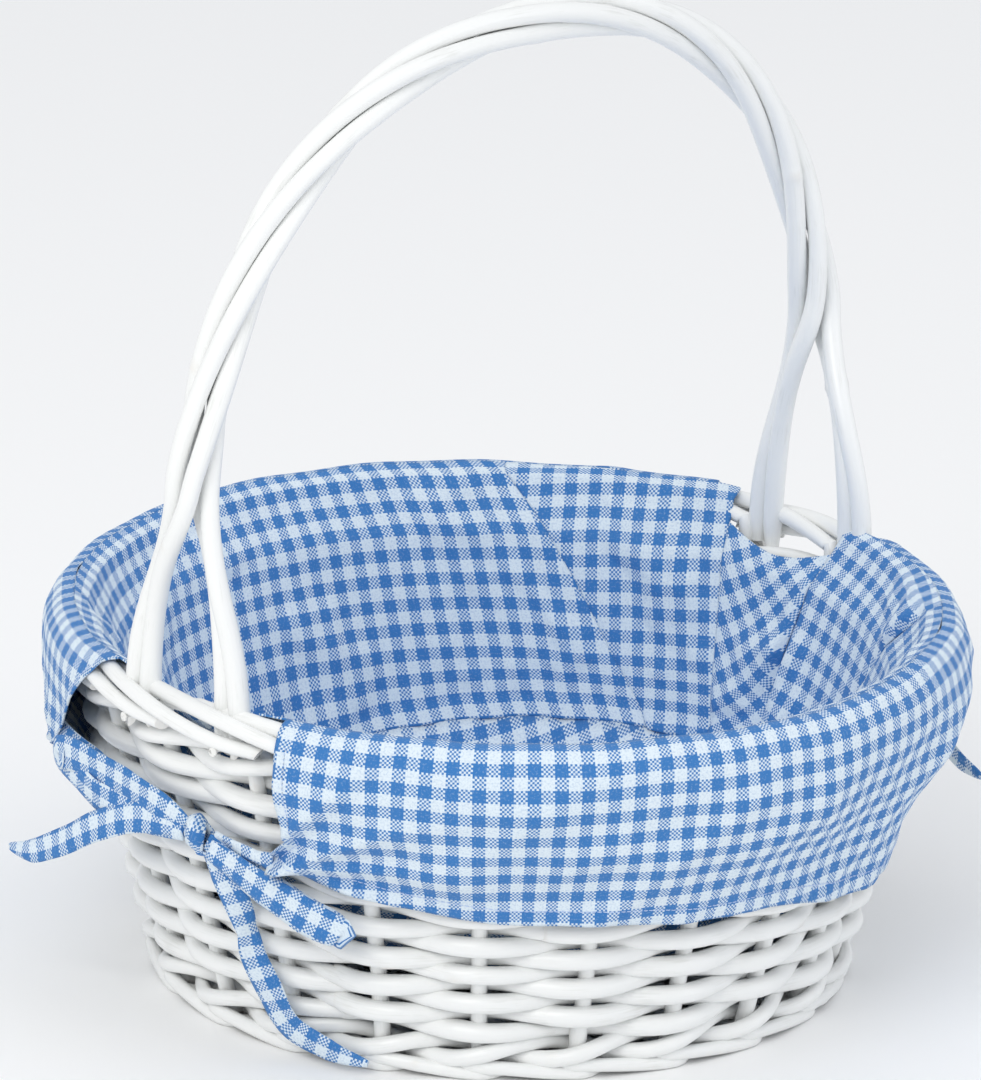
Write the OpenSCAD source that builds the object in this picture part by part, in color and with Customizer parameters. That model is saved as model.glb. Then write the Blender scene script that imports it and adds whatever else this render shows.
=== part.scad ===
// Round willow picnic basket with a fixed twisted handle and a tied gingham liner.
// Z is up, the basket stands on z = 0 and the handle's plane is XZ.

/* [Frame] */
// Number of side stakes, an even number so that plain weaving closes
stake_count = 22; // [18:2:26]
// Radius of the stake circle at the floor
foot_r = 117; // [105:1:125]
// Outward lean of the stakes, millimetres out per millimetre up
lean = 0.27; // [0.15:0.01:0.3]
// Height of the rolled border's centre
rim_z = 125; // [123:1:135]

/* [Willow] */
// Thickness of the side stakes
stake_d = 6; // [5:0.5:7]
// Thickness of the weaving rods
rod_d = 5.4; // [4.6:0.1:5.6]
// Number of rows of plain weaving in the side
row_count = 16; // [13:1:16]
// Height from one row to the next
row_pitch = 5.8; // [5.6:0.1:5.9]
// Thickness of the base sticks
stick_d = 6.4; // [5:0.2:7]
// Number of rounds of weaving in the base
base_rounds = 11; // [8:1:11]

/* [Handle] */
// Height of the middle of the handle at its top
handle_top = 346; // [300:1:360]
// Thickness of one handle rod
handle_d = 7; // [5:0.2:7.4]
// Half of the handle's width at its widest
handle_half = 162; // [156:1:165]
// Half of the distance between the two pairs of rod ends
foot_spread = 22; // [18:1:26]
// Sideways offset of each end of the handle
foot_shift = 8; // [0:1:10]
// Number of turns of the twist
handle_turns = 3.2; // [3:0.1:3.4]

/* [Liner] */
// Thickness of the cloth
cloth = 0.9; // [0.6:0.1:1.2]
// Height of the skirt's hem
hem_z = 57; // [54:1:76]
// Angle from the handle's plane to the square end of each skirt
notch_square = 12.5; // [11:0.5:16]
// Angle from the handle's plane to the drawn-up end of each skirt
notch_drawn = 16; // [14:1:20]
// Width of the tie ribbon
ribbon_w = 10; // [8:0.5:11]

/* [Hidden] */
stake_step = 360 / stake_count;
weave_out = stake_d / 2 + rod_d / 2 + 0.1;
flat_half = 4.2;
first_row_z = 15.5;
foot_z = rod_d / 2 * sin(60);
foot_ring_r = foot_r + 6;
top_pair_z = first_row_z + row_count * row_pitch + rod_d - 0.1;
border_wind_r = 5.2;
border_steps = 3.2;
border_r = foot_r + lean * rim_z + 3.5;
border_out = border_r + border_wind_r + rod_d / 2 + 0.5;
border_in = border_r - border_wind_r - rod_d / 2 - 0.5;
crest_z = rim_z + border_wind_r + rod_d / 2 + cloth + 0.4;
spoke_count = 16;
base_z = 8.4;
base_rod_d = 4.4;
base_first_r = 36;
base_round_pitch = 6.6;
liner_floor_z = 17.2;
handle_base_z = 118;
handle_tuck = 12;
tuck_share = 0.09;
handle_stations = 60;
handle_swell = 0.646;
rope_r = handle_d / sqrt(2) + 0.1;
splay_share = 0.05;
gusset_edge = 10;
square_corner = [12.5, 82];
drawn_corner = [31, 96];
panel_edge = 31.5;
row_names = [for (k = [1:row_count]) str("side_row_", k < 10 ? "0" : "", k)];
bow_parts = ["knot", "loop_high", "loop_low", "tail_side", "tail_down", "strap_back", "strap_front"];
ends = ["west", "east"];

white_paint = [0.95, 0.96, 0.95];
gingham = [0.52, 0.66, 0.88];
steel = [0.7, 0.7, 0.72];

// ---------- helpers ----------
function unit(v) = v / norm(v);
function polar(r, a, z) = [r * cos(a), r * sin(a), z];
function stake_r(z) = foot_r + lean * z;
function stake_a(i) = (i + 0.5) * stake_step;
function ease(t) = t <= 0 ? 0 : t >= 1 ? 1 : t * t * (3 - 2 * t);

// Direction of travel of a path at point i.
function heading(path, i, closed) = let (n = len(path))
    closed ? unit(path[(i + 1) % n] - path[(i + n - 1) % n])
    : unit(path[min(i + 1, n - 1)] - path[max(i - 1, 0)]);

// Ring of points round path point i; ref is a direction that the path never takes.
// Every even ring has a flat side towards ref and another away from it.
function ring(path, i, r, ref, sides, closed) =
    let (t = heading(path, i, closed), n = unit(cross(t, ref)), b = cross(n, t), start = sides == 6 ? 0 : 0.5)
    [for (k = [0:sides - 1]) let (a = 360 * (k + start) / sides)
        path[i] + r * (cos(a) * n + sin(a) * b)];

// A rod swept along a path, as one closed solid. radii gives the radius at each point.
module rod(path, radii, ref, sides = 6, closed = false) {
    n = len(path);
    points = [for (i = [0:n - 1]) each ring(path, i, radii[i], ref[i], sides, closed)];
    spans = closed ? n : n - 1;
    skin = [for (i = [0:spans - 1]) for (k = [0:sides - 1])
        let (a = i * sides + k, b = i * sides + (k + 1) % sides,
             c = ((i + 1) % n) * sides + (k + 1) % sides, d = ((i + 1) % n) * sides + k)
        each [[a, b, c], [a, c, d]]];
    caps = closed ? [] : [
        [for (k = [sides - 1:-1:0]) k],
        [for (k = [0:sides - 1]) (n - 1) * sides + k]
    ];
    polyhedron(points, concat(skin, caps), convexity = 6);
}

function same(n, v) = [for (i = [0:n - 1]) v];

// A rod woven in front of every other stake and behind the rest.
module woven_row(z, phase, sides) {
    path = [for (i = [0:stake_count - 1]) for (s = [-1, 1])
        let (r = stake_r(z) + ((i + phase) % 2 == 0 ? 1 : -1) * weave_out)
        polar(r, stake_a(i) + s * flat_half / r * 57.3, z)];
    rod(path, same(len(path), rod_d / 2), same(len(path), [0, 0, 1]), sides, true);
}

// Two rods on opposite sides of each stake, which change places between the stakes:
// the one going inside passes over the one coming out.
module paired_rods(z) {
    rise = rod_d / 2 + 0.05;
    for (j = [0, 1]) {
        path = [for (i = [0:stake_count - 1])
            let (out = (i + j) % 2 == 0 ? 1 : -1, r = stake_r(z) + out * weave_out, da = flat_half / r * 57.3)
            each [polar(r, stake_a(i) - da, z), polar(r, stake_a(i) + da, z),
                  polar(stake_r(z), stake_a(i) + stake_step / 2, z + out * rise)]];
        rod(path, same(len(path), rod_d / 2), same(len(path), [0, 0, 1]), 5, true);
    }
}

// ---------- base ----------
// Four sticks side by side in the middle that fan out to the base's edge.
module base_sticks(turn, z, centre_z) {
    for (j = [0:3]) {
        side = (j - 1.5) * (stick_d + 0.3);
        fan = (j - 1.5) * 360 / spoke_count;
        out = stake_r(base_z) - stake_d / 2 - 4;
        path = [
            [-out * cos(fan), -out * sin(-fan), z], [-24, side, centre_z],
            [24, side, centre_z], [out * cos(fan), out * sin(fan), z]
        ];
        rotate(turn) rod(path, [stick_d / 2.4, stick_d / 2, stick_d / 2, stick_d / 2.4],
            same(4, [0, 0, 1]), 8);
    }
}

module base_sticks_under() color(white_paint) base_sticks(0, base_z, base_z - stick_d / 2 - 0.1);
module base_sticks_over() color(white_paint) base_sticks(90, base_z, base_z + stick_d / 2 + 0.1);

// Rounds of thin rod woven over and under the spokes.
module base_weave() color(white_paint)
    for (k = [0:base_rounds - 1]) {
        r = base_first_r + k * base_round_pitch;
        hop = stick_d / 2 + base_rod_d / 2;
        path = [for (i = [0:spoke_count - 1]) for (s = [-1, 1])
            polar(r, (i + 0.5) * 360 / spoke_count + s * 3.4 / r * 57.3,
                  base_z + ((i + k) % 2 == 0 ? 1 : -1) * hop)];
        rod(path, same(len(path), base_rod_d / 2), same(len(path), [0, 0, 1]), 5, true);
    }

// The lowest round, which the basket stands on, worn flat underneath.
module foot_row() color(white_paint) rotate_extrude($fn = 96) translate([foot_ring_r, 0]) intersection() {
    translate([0, foot_z]) circle(d = rod_d, $fn = 40);
    translate([-rod_d, 0]) square([2 * rod_d, 2 * rod_d]);
}

module foot_pairing() color(white_paint) paired_rods(2 * foot_z + rod_d);

// ---------- side ----------
// Each stake leaves the base's edge, turns up and leans out to the border.
module side_stakes() color(white_paint)
    for (i = [0:stake_count - 1]) {
        a = stake_a(i);
        top = rim_z - border_wind_r - 3;
        path = [polar(stake_r(0) - 12, a, base_z - 3), polar(stake_r(0) + 0.5, a, base_z - 4.2),
            polar(stake_r(9), a, 9), polar(stake_r(top), a, top)];
        rod(path, [1.6, stake_d / 2.3, stake_d / 2, stake_d / 2.2], same(4, polar(1, a + 90, 0)), 8);
    }

module side_row(k) color(white_paint) woven_row(first_row_z + (k - 0.5) * row_pitch, k, 5);
module top_pairing() color(white_paint) paired_rods(top_pair_z);

// ---------- rim ----------
// Each border rod rises inside the rim, rolls over the top and lies down outside it.
module rim_border() color(white_paint)
    for (i = [0:stake_count - 1]) {
        path = [for (t = [0:0.125:1]) let (wind = 200 - 220 * t)
            polar(border_r + border_wind_r * cos(wind), stake_a(i) + t * border_steps * stake_step,
                  rim_z + border_wind_r * sin(wind))];
        rod(path, same(len(path), rod_d / 2), same(len(path), [0, 0, 1]), 5);
    }

// ---------- handle ----------
// Centre line of the handle: a full arch, t from 0 at the west end to 1 at the east,
// with both ends tucked in to the border.
function arch(t) =
    let (s = 180 * (1 - t), side = sign(cos(s)), tuck = handle_tuck * (1 - ease(min(t, 1 - t) / tuck_share)))
    [side * (handle_half * pow(abs(cos(s)), 0.925) - tuck), 0,
     handle_base_z + (handle_top - handle_base_z) * pow(max(sin(s), 0), handle_swell)];
function arch_out(t) = let (e = 0.004, d = unit(arch(min(t + e, 1)) - arch(max(t - e, 0)))) [-d[2], 0, d[0]];

// Rod j at w, which runs evenly from 0 at the west end to 1 at the east. The rods part
// near each end, cross over, and go down in pairs beside each other into the border.
function handle_point(j, w) =
    let (t = (1 - cos(180 * w)) / 2, end = w < 0.5 ? 1 : -1,
         splay = 1 - ease(min(t, 1 - t) / splay_share),
         twist = 90 * j + 45 + 360 * handle_turns * (w - 0.5),
         side = (j == 0 || j == 3 ? 1 : -1) * end, beside = j < 2 ? -1 : 1,
         rope = rope_r * (cos(twist) * arch_out(t) + sin(twist) * [0, -1, 0]),
         foot = [0, side * foot_spread + end * foot_shift + beside * (handle_d / 2 + 0.1), 0])
    arch(t) + (1 - splay) * rope + splay * foot;

module handle_rod(j) color(white_paint) {
    n = handle_stations;
    path = [for (i = [0:n]) handle_point(j, i / n)];
    radii = [for (i = [0:n]) handle_d / 2 * (0.7 + 0.3 * ease(min(i, n - i) / 2))];
    rod(path, radii, same(n + 1, [0, 1, 0]), 6);
}

// One nail through the border under each pair of handle rods, its head outside.
module handle_nails() color(steel)
    for (end = [0, 180]) for (side = [-1, 1])
        rotate(end + (side * foot_spread - foot_shift) * 0.38) translate([border_r + 8.4, 0, rim_z - 6])
            rotate([0, -90, 0]) {
                cylinder(h = 0.8, d = 3.4, $fn = 32);
                cylinder(h = 10, d = 1.4, $fn = 24);
            }

// ---------- liner ----------
liner_gap = weave_out + rod_d / 2 + 0.5;
function liner_r(z) = stake_r(z) - liner_gap;
// Cross-section of the lining from the crest down the inside to its floor.
module lining_section() polygon([
    [border_r, crest_z], [border_in + 2.5, crest_z - 2.5], [border_in, rim_z],
    [liner_r(rim_z - 16), rim_z - 16], [liner_r(liner_floor_z + 6), liner_floor_z + 6],
    [liner_r(liner_floor_z) - 4, liner_floor_z],
    [liner_r(liner_floor_z) - 4 - cloth, liner_floor_z + cloth],
    [liner_r(liner_floor_z + 6) - cloth, liner_floor_z + 6.5], [liner_r(rim_z - 16) - cloth, rim_z - 16],
    [border_in - cloth, rim_z], [border_in + 1.7, crest_z - 1.7], [border_r, crest_z + cloth]
]);

// Cross-section of the skirt from the crest down the outside to its hem.
skirt_wall = cloth * 1.2;
module skirt_section() polygon([
    [border_r, crest_z], [border_r, crest_z + cloth], [border_out - 1.4, crest_z - 0.8],
    [border_out + skirt_wall, rim_z], [border_out + 1.5 + skirt_wall, rim_z - 14],
    [stake_r(hem_z + 18) + liner_gap + 5 + skirt_wall, hem_z + 18],
    [stake_r(hem_z) + liner_gap + skirt_wall, hem_z], [stake_r(hem_z) + liner_gap, hem_z],
    [stake_r(hem_z + 18) + liner_gap + 5, hem_z + 18], [border_out + 1.5, rim_z - 14],
    [border_out, rim_z], [border_out - 2.6, crest_z - 1.8]
]);

// The part of the lining between two angles.
module lining(from, to, top = 400) color(gingham)
    rotate(from) rotate_extrude(angle = to - from, $fn = 96) intersection() {
        lining_section();
        square([border_r, top]);
    }

module liner_floor() color(gingham) translate([0, 0, liner_floor_z - cloth - 0.05])
    cylinder(h = cloth, r = liner_r(liner_floor_z) - 4, $fn = 96);
module liner_panel_front() lining(180 + panel_edge, 360 - panel_edge);
module liner_panel_back() lining(panel_edge, 180 - panel_edge);
module liner_gussets() for (a = [0, 180]) {
    lining(a + gusset_edge, a + panel_edge);
    lining(a - panel_edge, a - gusset_edge);
}
module liner_handle_panels() for (a = [0, 180]) lining(a - gusset_edge, a + gusset_edge, rim_z - 11);

// What is cut off the end of a skirt: u runs round the rim from the lower corner.
module skirt_cut(at, outline) rotate(at) translate([border_r, 0, 0]) rotate([90, 0, 90])
    linear_extrude(height = 80, center = true) polygon(outline);

// Each skirt rolls over the rim, and its lower corners are drawn up to the ties:
// one end is nearly square, and the other is pulled well back from the handle.
module skirt(turn) color(gingham) rotate(turn) difference() {
    rotate(notch_square) rotate_extrude(angle = 180 - notch_square - notch_drawn, $fn = 96) skirt_section();
    skirt_cut(square_corner[0], [[-20, 50], [60, 50], [45, hem_z - 0.1], [0, square_corner[1]], [8, 140], [-20, 140]]);
    skirt_cut(180 - drawn_corner[0],
        [[20, 50], [-65, 50], [-50, hem_z - 0.1], [0, drawn_corner[1]], [40, 134], [90, 134], [90, 50]]);
}
module skirt_front() skirt(180);
module skirt_back() skirt(0);

// ---------- bows ----------
// The ribbon's route over the wicker, each point as [angle round, distance out, height].
knot_at = [0.8, 0.8, 84.5];
strap_back_route = [[-30, 8.5, 95], [-20, 4.6, 92.8], [-12.5, 3.6, 90], [-6, 3, 86.2], [-1.5, 2, 84.5]];
strap_front_route = [[12.4, 5, 82], [8, 3.2, 83], [3.5, 2, 84]];
loop_high_route = [[-1, 3.5, 86], [-5, 4.8, 91], [-13, 6.5, 94.5], [-20, 11, 96.5], [-24, 14, 95], [-22.5, 13, 91],
    [-17, 11, 85.5], [-10, 7.5, 83.5], [-1.5, 4.5, 83.6]];
loop_low_route = [[2.5, 3.5, 82.5], [6, 4, 78], [12, 5, 70.5], [18, 6, 64], [22, 7.2, 61], [22.6, 9.2, 60.8],
    [18.5, 9.4, 65], [11.5, 8, 73], [3.5, 5.8, 81]];
tail_side_route = [[-1.5, 3.2, 84.8], [-4.5, 5.9, 85.5], [-10, 9.5, 83], [-16, 17, 74.5], [-21, 24.5, 65],
    [-26, 32, 57], [-30.5, 37, 54]];
tail_down_route = [[2.2, 3, 80.5], [5.8, 3.6, 62], [6.5, 2.6, 42], [8.5, 2, 27], [11.5, 1.6, 13.5], [17.8, 1.6, 7.5],
    [24, 2, 4.6]];

function bow_point(p) = let (r = stake_r(p[2]) + liner_gap + 2 + p[1]) polar(r, p[0], p[2]);

// A flat ribbon along a route; widths gives the width at each point.
module ribbon(route, widths, thick = 1.6) {
    path = [for (p = route) bow_point(p)];
    n = len(path);
    points = [for (i = [0:n - 1])
        let (t = heading(path, i, false), out = unit([path[i][0], path[i][1], 0]),
             across = unit(cross(t, out)), face = cross(across, t))
        each [for (c = [[-1, -1], [1, -1], [1, 1], [-1, 1]])
            path[i] + c[0] * widths[i] / 2 * across + c[1] * thick / 2 * face]];
    skin = [for (i = [0:n - 2]) for (k = [0:3])
        let (a = i * 4 + k, b = i * 4 + (k + 1) % 4, c = a + 4, d = b + 4)
        each [[a, c, b], [b, c, d]]];
    polyhedron(points, concat(skin, [[0, 1, 2, 3], [for (k = [3:-1:0]) (n - 1) * 4 + k]]), convexity = 4);
}

module bow(part) color(gingham) {
    if (part == "knot") translate(bow_point(knot_at)) rotate([0, 0, knot_at[0]])
        scale([0.55, 1, 0.85]) sphere(r = 6.5, $fn = 12);
    if (part == "strap_back") ribbon(strap_back_route, ribbon_w * [0.9, 1, 1, 0.9, 0.6]);
    if (part == "strap_front") ribbon(strap_front_route, ribbon_w * [0.9, 0.8, 0.6]);
    if (part == "loop_high") ribbon(loop_high_route, ribbon_w * [0.7, 1, 1.1, 1.1, 1.1, 1.1, 1.1, 1, 0.7], 1.2);
    if (part == "loop_low") ribbon(loop_low_route, ribbon_w * [0.7, 1, 1.2, 1.2, 1.2, 1.2, 1.2, 1.1, 0.7], 1.2);
    if (part == "tail_side") ribbon(tail_side_route, ribbon_w * [0.7, 1, 1, 1, 0.9, 0.8, 0.4], 1.2);
    if (part == "tail_down") ribbon(tail_down_route, ribbon_w * [0.7, 1, 0.8, 1, 1, 0.9, 0.3], 1.2);
}

// ---------- assembly ----------
base_sticks_under();
base_sticks_over();
base_weave();
foot_row();
foot_pairing();
side_stakes();
for (k = [1:row_count]) side_row(k);
top_pairing();
rim_border();
for (j = [0:3]) handle_rod(j);
handle_nails();
liner_floor();
liner_panel_front();
liner_panel_back();
liner_gussets();
liner_handle_panels();
skirt_front();
skirt_back();
for (e = [0, 1]) for (p = bow_parts)
    rotate(180 - 180 * e) bow(p);
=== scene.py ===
"""A round willow basket with a fixed twisted handle and a tied gingham liner.

Lengths are in millimetres until a mesh is made, and metres from then on.
Angles run round the basket's upright axis from the handle's east end.
"""

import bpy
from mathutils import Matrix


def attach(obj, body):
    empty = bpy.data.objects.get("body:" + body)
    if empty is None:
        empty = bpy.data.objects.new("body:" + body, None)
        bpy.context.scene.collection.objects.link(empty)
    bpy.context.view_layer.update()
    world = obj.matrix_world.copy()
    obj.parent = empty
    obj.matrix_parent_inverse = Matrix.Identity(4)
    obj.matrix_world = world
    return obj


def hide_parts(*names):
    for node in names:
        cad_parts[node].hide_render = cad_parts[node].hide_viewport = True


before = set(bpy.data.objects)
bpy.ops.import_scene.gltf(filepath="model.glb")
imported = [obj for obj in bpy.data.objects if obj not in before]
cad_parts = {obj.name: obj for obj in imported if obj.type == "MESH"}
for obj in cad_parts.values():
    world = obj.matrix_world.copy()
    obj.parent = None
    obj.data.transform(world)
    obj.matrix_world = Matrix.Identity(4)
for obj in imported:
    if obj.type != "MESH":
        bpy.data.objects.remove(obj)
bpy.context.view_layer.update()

import logging
import math
import random
from dataclasses import dataclass, field
from enum import Enum
from typing import Callable, Sequence

import bpy
import numpy as np
from mathutils import Quaternion, Vector

MM = 0.001
LOG = logging.getLogger("basket")
Array = np.ndarray
UP = np.array([0, 0, 1.0])


class Slot(Enum):
    """The record's material slots."""

    WILLOW = "painted_willow"
    COTTON = "gingham_cotton"
    STEEL = "nail_steel"


class End(Enum):
    """The handle's two ends, each with the turn that brings the east one to it."""

    EAST = 0.0
    WEST = 180.0


# ---------------------------------------------------------------- small tools


def linear(hex_colour: str) -> tuple[float, float, float, float]:
    """Turns an sRGB hex colour to a linear one.

    Args:
        hex_colour: Six hex digits after a #.

    Returns:
        Linear red, green, blue and an alpha of 1.
    """
    values = [int(hex_colour[i : i + 2], 16) / 255 for i in (1, 3, 5)]
    return (*(v / 12.92 if v <= 0.04045 else ((v + 0.055) / 1.055) ** 2.4 for v in values), 1.0)


def add_node(tree: bpy.types.NodeTree, kind: str, links: dict | None = None, **settings) -> bpy.types.Node:
    """Adds a node with its settings and links.

    Args:
        tree: The node tree.
        kind: The node's type name.
        links: Input name or number to the output socket or the value it gets.
        **settings: The node's own properties.

    Returns:
        The new node.
    """
    node = tree.nodes.new(kind)
    for key, value in settings.items():
        setattr(node, key, value)
    for key, value in (links or {}).items():
        if isinstance(value, bpy.types.NodeSocket):
            tree.links.new(value, node.inputs[key])
        else:
            node.inputs[key].default_value = value
    return node


def new_material(name: str) -> tuple[bpy.types.Material, bpy.types.NodeTree, bpy.types.Node]:
    """Starts a material.

    Args:
        name: The real finish's name.

    Returns:
        The material, its node tree and its Principled shader.
    """
    material = bpy.data.materials.new(name)
    material.use_nodes = True
    return material, material.node_tree, material.node_tree.nodes["Principled BSDF"]


def deselect() -> None:
    """Clears the selection, because operators act on all of it."""
    bpy.ops.object.select_all(action="DESELECT")


def pick(obj: bpy.types.Object) -> None:
    """Makes obj the only selected and the active object."""
    deselect()
    obj.select_set(True)
    bpy.context.view_layer.objects.active = obj


def polar(radius: float, degrees: float, height: float) -> Array:
    """Gives the point at a radius, an angle and a height."""
    a = math.radians(degrees)
    return np.array([radius * math.cos(a), radius * math.sin(a), height])


def ease(t: float) -> float:
    """Goes smoothly from 0 to 1 as t does."""
    t = min(max(t, 0.0), 1.0)
    return t * t * (3 - 2 * t)


def unit(v: Array) -> Array:
    """Scales vectors to length 1 along the last axis."""
    return v / np.maximum(np.linalg.norm(v, axis=-1, keepdims=True), 1e-9)


def through(points: Sequence[Sequence[float]], count: int) -> Array:
    """Runs a smooth curve through points.

    Args:
        points: The points, of any dimension.
        count: How many points to give back.

    Returns:
        An array of points, evenly spread over the spans.
    """
    p = np.array(points, float)
    spans = len(p) - 1
    out = []
    for t in np.linspace(0, spans, count):
        i = min(int(t), spans - 1)
        f = t - i
        a, b, c, d = (p[min(max(i + k, 0), spans)] for k in (-1, 0, 1, 2))
        square, cube = 2 * a - 5 * b + 4 * c - d, 3 * b - a - 3 * c + d
        out.append(0.5 * (2 * b + (c - a) * f + square * f**2 + cube * f**3))
    return np.array(out)


def distance_along(path: Array) -> Array:
    """Gives the distance from a path's start to each of its points."""
    return np.concatenate([[0], np.cumsum(np.linalg.norm(np.diff(path, axis=0), axis=1))])


def mesh_piece(
    name: str, verts: Array, faces: list, uvs: Array, shade: Array | None = None
) -> bpy.types.Object:
    """Makes an object from millimetre points.

    Args:
        name: The piece's name.
        verts: Points in millimetres.
        faces: Vertex numbers of each face, outward side anticlockwise.
        uvs: One pair per face corner, in metres on the flat surface.
        shade: One number per vertex, kept as the attribute "tone".

    Returns:
        The object, smooth shaded, at the origin.
    """
    mesh = bpy.data.meshes.new(name)
    mesh.from_pydata((verts * MM).tolist(), [], faces)
    layer = mesh.uv_layers.new(name="flat")
    layer.data.foreach_set("uv", np.asarray(uvs, float).ravel())
    if shade is not None:
        tone = mesh.attributes.new("tone", "FLOAT", "POINT")
        tone.data.foreach_set("value", np.asarray(shade, float))
    mesh.polygons.foreach_set("use_smooth", [True] * len(mesh.polygons))
    mesh.update()
    obj = bpy.data.objects.new(name, mesh)
    bpy.context.scene.collection.objects.link(obj)
    return obj


def apply_modifier(obj: bpy.types.Object, kind: str, **settings) -> None:
    """Adds a modifier with its settings and applies it.

    Args:
        obj: The piece.
        kind: The modifier's type name.
        **settings: The modifier's properties.
    """
    pick(obj)
    modifier = obj.modifiers.new(kind.lower(), kind)
    for key, value in settings.items():
        setattr(modifier, key, value)
    bpy.ops.object.modifier_apply(modifier=modifier.name)


def finish_piece(
    obj: bpy.types.Object, material: bpy.types.Material, slot: Slot, nodes: Sequence[str]
) -> None:
    """Dresses a piece and ties it to the frame.

    Args:
        obj: The piece.
        material: Its material.
        slot: The record's slot for its finish. Not used.
        nodes: The plain solids that it stands for.
    """
    obj.data.materials.clear()
    obj.data.materials.append(material)
    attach(obj, "root")
    if nodes:
        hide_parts(*nodes)


# ------------------------------------------------------------------- finishes


@dataclass(frozen=True)
class PaintedWillow:
    """Peeled willow rods under a coat of white gloss paint.

    The paint pools thinly along the grain, so the eye sees long faint streaks,
    small knots and a soft sheen along the top of each rod.
    """

    paint: str = "#F3F4F3"
    thin_paint: str = "#DFE0DC"
    bare_wood: str = "#B9A17C"
    grain_width_mm: float = 0.7
    grain_length_mm: float = 14.0
    patch_mm: float = 16.0
    grain_depth_mm: float = 0.25

    def make(self) -> bpy.types.Material:
        """Builds the material and returns it."""
        material, tree, shader = new_material("white_gloss_paint_on_willow")
        flat = add_node(tree, "ShaderNodeUVMap", uv_map="flat")
        scale = (1 / (self.grain_width_mm * MM), 1 / (self.grain_length_mm * MM), 1)
        stretch = add_node(tree, "ShaderNodeMapping", {0: flat.outputs["UV"], "Scale": scale})
        grain = add_node(
            tree, "ShaderNodeTexNoise", {"Vector": stretch.outputs[0], "Scale": 1.0, "Detail": 3.0}
        )
        place = add_node(tree, "ShaderNodeTexCoord")
        patches = add_node(
            tree,
            "ShaderNodeTexNoise",
            {"Vector": place.outputs["Object"], "Scale": 1 / (self.patch_mm * MM), "Detail": 3.0},
        )
        rubbed = add_node(
            tree, "ShaderNodeMath", {0: grain.outputs[0], 1: patches.outputs[0]}, operation="MULTIPLY"
        )
        worn = add_node(
            tree,
            "ShaderNodeMapRange",
            {"Value": rubbed.outputs[0], "From Min": 0.30, "From Max": 0.46, "To Max": 0.55},
        )
        coat = add_node(
            tree,
            "ShaderNodeMix",
            {0: worn.outputs[0], 6: linear(self.paint), 7: linear(self.thin_paint)},
            data_type="RGBA",
        )
        tone = add_node(tree, "ShaderNodeAttribute", attribute_name="tone")
        knots = add_node(
            tree,
            "ShaderNodeMix",
            {0: tone.outputs["Fac"], 6: coat.outputs[2], 7: linear(self.bare_wood)},
            data_type="RGBA",
        )
        tree.links.new(knots.outputs[2], shader.inputs["Base Color"])
        bump = add_node(
            tree,
            "ShaderNodeBump",
            {"Height": grain.outputs[0], "Strength": 0.32, "Distance": self.grain_depth_mm * MM},
        )
        tree.links.new(bump.outputs[0], shader.inputs["Normal"])
        shader.inputs["Roughness"].default_value = 0.34
        shader.inputs["IOR"].default_value = 1.5
        shader.inputs["Coat Weight"].default_value = 0.25
        shader.inputs["Coat Roughness"].default_value = 0.2
        return material


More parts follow.
